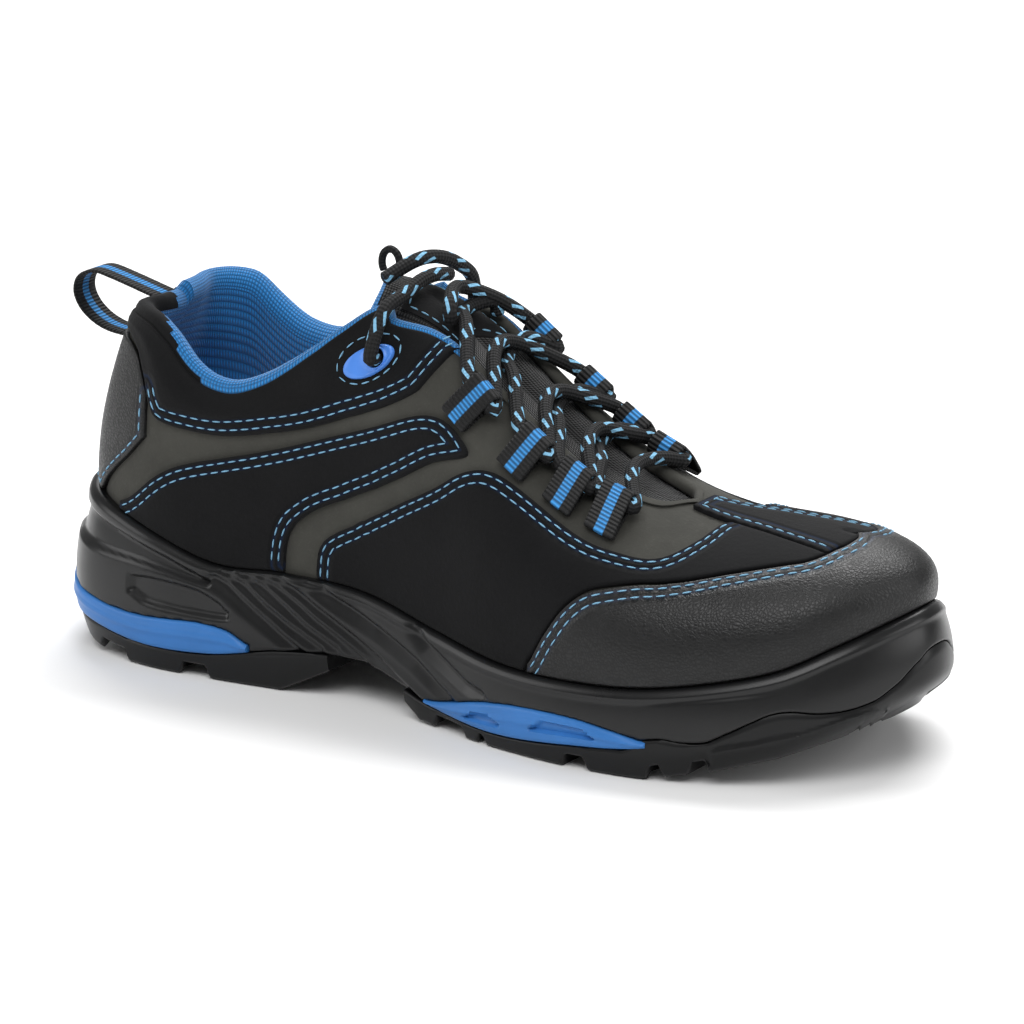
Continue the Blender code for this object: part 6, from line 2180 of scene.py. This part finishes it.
def build_eyelets():
    """An oval plate on each side of the collar, with a rimmed round hole and a sewn ring."""
    profile = (
        (0.0, 0.0, 0.0), (0.0, 0.6, 0.0), (0.0, 0.9, 0.10), (0.0, 1.0, 0.25), (0.0, 1.06, 0.45),
        (0.0, 1.0, 0.62), (0.35, 0.82, 0.0), (0.65, 0.82, 0.0), (1.0, 0.86, -0.6),
        (1.0, 0.75, -0.25), (1.0, 0.5, 0.0), (1.0, 0.0, 0.0), (0.0, 0.0, 0.0),
    )
    around = 48
    for side, word in ((-1, "lateral"), (1, "medial")):
        def outer(i, j):
            angle = 2 * math.pi * (i % around) / around
            share, high, shift = profile[j]
            hole = EYELET_HOLE / 2 + max(shift, 0.0) * 0.8 * MM * (1 - share)
            rim = min(shift, 0.0) * 0.8 * MM
            x = (EYELET_OFFSET + math.cos(angle) * hole) * (1 - share)
            y = math.sin(angle) * hole * (1 - share)
            x += math.cos(angle) * (EYELET_LENGTH / 2 + rim) * share
            y += math.sin(angle) * (EYELET_WIDTH * EYELET_SLIM / 2 + rim) * share
            lift = OVERLAY_GAP + OVERLAY + (EYELET_THICKNESS + 1.5 * GAP) * high
            return eyelet_point(side, x, y, lift)

        shape = sheet_form(around, len(profile) - 1, outer)
        finish_piece(f"eyelet_plate_{word}", shape, [moulded("Blue plastic", "plastic", 0.3, 0.2)],
                     [f"eyelet_{word}"])
        if sizes().stitched:
            run = []
            for k in range(73):
                angle = 2 * math.pi * k / 72
                x = math.cos(angle) * (EYELET_LENGTH / 2 + EYELET_SEAM)
                y = math.sin(angle) * (EYELET_WIDTH * EYELET_SLIM / 2 + EYELET_SEAM)
                place = eyelet_place(side, x, y)
                low = smooth_value(COLLAR_PANEL_LOW, station_of(place[0]))
                high = free_edge(round(place[0], 3)) - PANEL_SEAM
                swell = swollen(place[0], (place[1] - low) / (high - low), 6 * MM)
                run.append((last_point(*place, OVERLAY_GAP + OVERLAY + 0.1 * MM + swell),
                            skin_frame(*place)[3]))
            STITCH_RUNS.append(run)


# The heel loop's points behind the collar, from the sole's heel and the floor, in millimetres.
HEEL_LOOP_BEHIND = (
    (4, 96), (-3, 98), (-8.5, 102), (-11, 107), (-9.5, 112), (-4, 114.5), (3, 113.5),
)
TONGUE_LOOP_ARC = (-40, 220, 10)


def build_pull_loops():
    """The webbing loop behind the heel and the cord loop on the tongue."""
    lift = EYELET_LIFT + WEBBING_THICKNESS / 2
    path = []
    for height in (0.985, 0.95, 0.91, 0.87):
        path.append(last_point(0.0, girth_at_height(0.0, height * COLLAR_HEIGHT), lift))
    path += [Vector((x * MM - HEEL_TO_ORIGIN, 0, z * MM)) for x, z in HEEL_LOOP_BEHIND]
    path = even_path(smooth_path(path + [path[0]], 6), 1.0 * MM)
    across = [Vector((0, PULL_LOOP_WIDTH / 2, 0))] * len(path)
    strap("heel_webbing", path, across, WEBBING_THICKNESS, [ribbed_webbing()],
          ["heel_pull_loop"])

    top = tongue_point(TONGUE_STATIONS[0], 0.1, TONGUE_THICKNESS / 2)
    path = []
    low, high, step = TONGUE_LOOP_ARC
    for angle in range(low, high + 1, step):
        a = math.radians(angle)
        path.append(top + Vector((math.cos(a) * 3.2, 0, math.sin(a) * 4.2 + 3.9)) * MM)
    tube("tongue_cord", path, TONGUE_CORD / 2, 10, [braid(False)], ["tongue_loop"])


# The camera, worked out once from the sole's and collar's places in the photograph.
CAMERA_TARGET = (0.112, 0.0, 0.055)
CAMERA_PLACE = (0.9826, -1.4085, 0.5308)
CAMERA_LENS = 199.9
CAMERA_SHIFT = (-0.00724, 0.00897)


FLOOR_GAP = 0.05 * MM

# The lights: place, aim, width and height, and share of the key light's set power.
LIGHTS = (
    ("key", (0.55, -1.15, 1.55), CAMERA_TARGET, (1.5, 1.0), 0.85),
    ("top", (0.0, 0.75, 1.5), CAMERA_TARGET, (1.5, 0.6), 1.0),
    ("back", (-1.6, 3.0, 2.4), (-0.9, 2.4, 0.0), (3.0, 2.0), 1.5),
    ("side", (-1.3, -0.9, 0.8), CAMERA_TARGET, (0.8, 1.2), 0.3),
    ("toe", (1.6, 0.3, 0.7), CAMERA_TARGET, (0.7, 1.1), 0.28),
)


def area_light(name, place, target, size, power):
    """A rectangular light turned towards a target."""
    light = bpy.data.lights.new(name, "AREA")
    light.shape = "RECTANGLE"
    light.size, light.size_y = size
    light.energy = power
    made = bpy.data.objects.new(name, light)
    made.location = place
    made.rotation_euler = (Vector(target) - Vector(place)).to_track_quat("-Z", "Y").to_euler()
    bpy.context.scene.collection.objects.link(made)


def build_stage():
    """Pale floor, soft lights and the camera."""
    scene = bpy.context.scene
    shape = bmesh.new()
    bmesh.ops.create_grid(shape, x_segments=4, y_segments=4, size=sizes().floor_size / 2)
    bmesh.ops.translate(shape, verts=shape.verts, vec=(0.0, 0.0, -FLOOR_GAP))
    mesh = bpy.data.meshes.new("floor")
    shape.to_mesh(mesh)
    shape.free()
    mesh.materials.append(pale_floor())
    floor = bpy.data.objects.new("floor", mesh)
    scene.collection.objects.link(floor)

    world = bpy.data.worlds.new("Studio")
    world.use_nodes = True
    world.node_tree.nodes["Background"].inputs["Color"].default_value = (1.0, 1.0, 1.0, 1.0)
    world.node_tree.nodes["Background"].inputs["Strength"].default_value = sizes().room_light
    scene.world = world
    scene.view_settings.view_transform = "Standard"

    target = Vector(CAMERA_TARGET)
    power = sizes().key_power
    for name, place, aim, size, share in LIGHTS:
        area_light(name, place, aim, size, power * share)

    camera = bpy.data.cameras.new("camera")
    camera.lens = CAMERA_LENS
    camera.sensor_width = 36.0
    camera.shift_x, camera.shift_y = CAMERA_SHIFT
    camera.clip_start, camera.clip_end = 0.05, 30.0
    made = bpy.data.objects.new("camera", camera)
    made.location = CAMERA_PLACE
    made.rotation_euler = (target - made.location).to_track_quat("-Z", "Y").to_euler()
    scene.collection.objects.link(made)
    scene.camera = made


class StageOperator(bpy.types.Operator):
    """Adds the floor, the lights and the camera"""

    bl_idname = "sneaker.stage"
    bl_label = "Stage"

    def execute(self, context):
        build_stage()
        return {"FINISHED"}


class UpperOperator(bpy.types.Operator):
    """Builds the upper's outer leather and its knit lining"""

    bl_idname = "sneaker.upper"
    bl_label = "Upper and lining"

    def execute(self, context):
        build_skin()
        build_lining()
        return {"FINISHED"}


class PanelsOperator(bpy.types.Operator):
    """Builds the panels, the toe cap and the heel counter"""

    bl_idname = "sneaker.panels"
    bl_label = "Panels"

    def execute(self, context):
        build_panels()
        build_strip()
        return {"FINISHED"}


class TongueOperator(bpy.types.Operator):
    """Builds the padded tongue"""

    bl_idname = "sneaker.tongue"
    bl_label = "Tongue"

    def execute(self, context):
        build_tongue()
        build_label()
        return {"FINISHED"}


class SoleOperator(bpy.types.Operator):
    """Builds the midsole, its blue inserts, the tread and the footbed"""

    bl_idname = "sneaker.sole"
    bl_label = "Sole"

    def execute(self, context):
        build_midsole()
        build_inserts()
        build_tread()
        build_insole()
        return {"FINISHED"}


class LacingOperator(bpy.types.Operator):
    """Builds the lace loops, the eyelets, the lace and its ends"""

    bl_idname = "sneaker.lacing"
    bl_label = "Lacing"

    def execute(self, context):
        build_lace_loops()
        build_eyelets()
        build_lace()
        build_lace_ends()
        return {"FINISHED"}


class PullLoopsOperator(bpy.types.Operator):
    """Builds the heel's webbing loop and the tongue's cord loop"""

    bl_idname = "sneaker.pull_loops"
    bl_label = "Pull loops"

    def execute(self, context):
        build_pull_loops()
        return {"FINISHED"}


class StitchesOperator(bpy.types.Operator):
    """Sews the seams laid down by the panels and eyelets"""

    bl_idname = "sneaker.stitches"
    bl_label = "Stitches"

    def execute(self, context):
        if sizes().stitched:
            build_stitches()
        return {"FINISHED"}


OPERATORS = (
    StageOperator, UpperOperator, PanelsOperator, TongueOperator, SoleOperator, LacingOperator,
    PullLoopsOperator, StitchesOperator,
)


class SneakerPanel(bpy.types.Panel):
    """Lists the sneaker's steps, sizes and colours"""

    bl_idname = "VIEW3D_PT_sneaker"
    bl_label = "Safety sneaker"
    bl_space_type = "VIEW_3D"
    bl_region_type = "UI"
    bl_category = "Sneaker"

    def draw(self, context):
        for operator in OPERATORS:
            self.layout.operator(operator.bl_idname)
        for group in (context.scene.sneaker_sizes, context.scene.sneaker_colours):
            for name in group.__annotations__:
                self.layout.prop(group, name)


CLASSES = (SneakerSizes, SneakerColours, *OPERATORS, SneakerPanel)


def register():
    """Adds the classes, and the sizes and colours to the scene."""
    for made in CLASSES:
        bpy.utils.register_class(made)
    bpy.types.Scene.sneaker_sizes = PointerProperty(type=SneakerSizes)
    bpy.types.Scene.sneaker_colours = PointerProperty(type=SneakerColours)


def unregister():
    """Takes the classes and the properties away again."""
    del bpy.types.Scene.sneaker_colours
    del bpy.types.Scene.sneaker_sizes
    for made in reversed(CLASSES):
        bpy.utils.unregister_class(made)


def main():
    """Builds the sneaker step by step."""
    register()
    for operator in OPERATORS:
        group, name = operator.bl_idname.split(".")
        getattr(getattr(bpy.ops, group), name)()


if __name__ == "__main__":
    main()
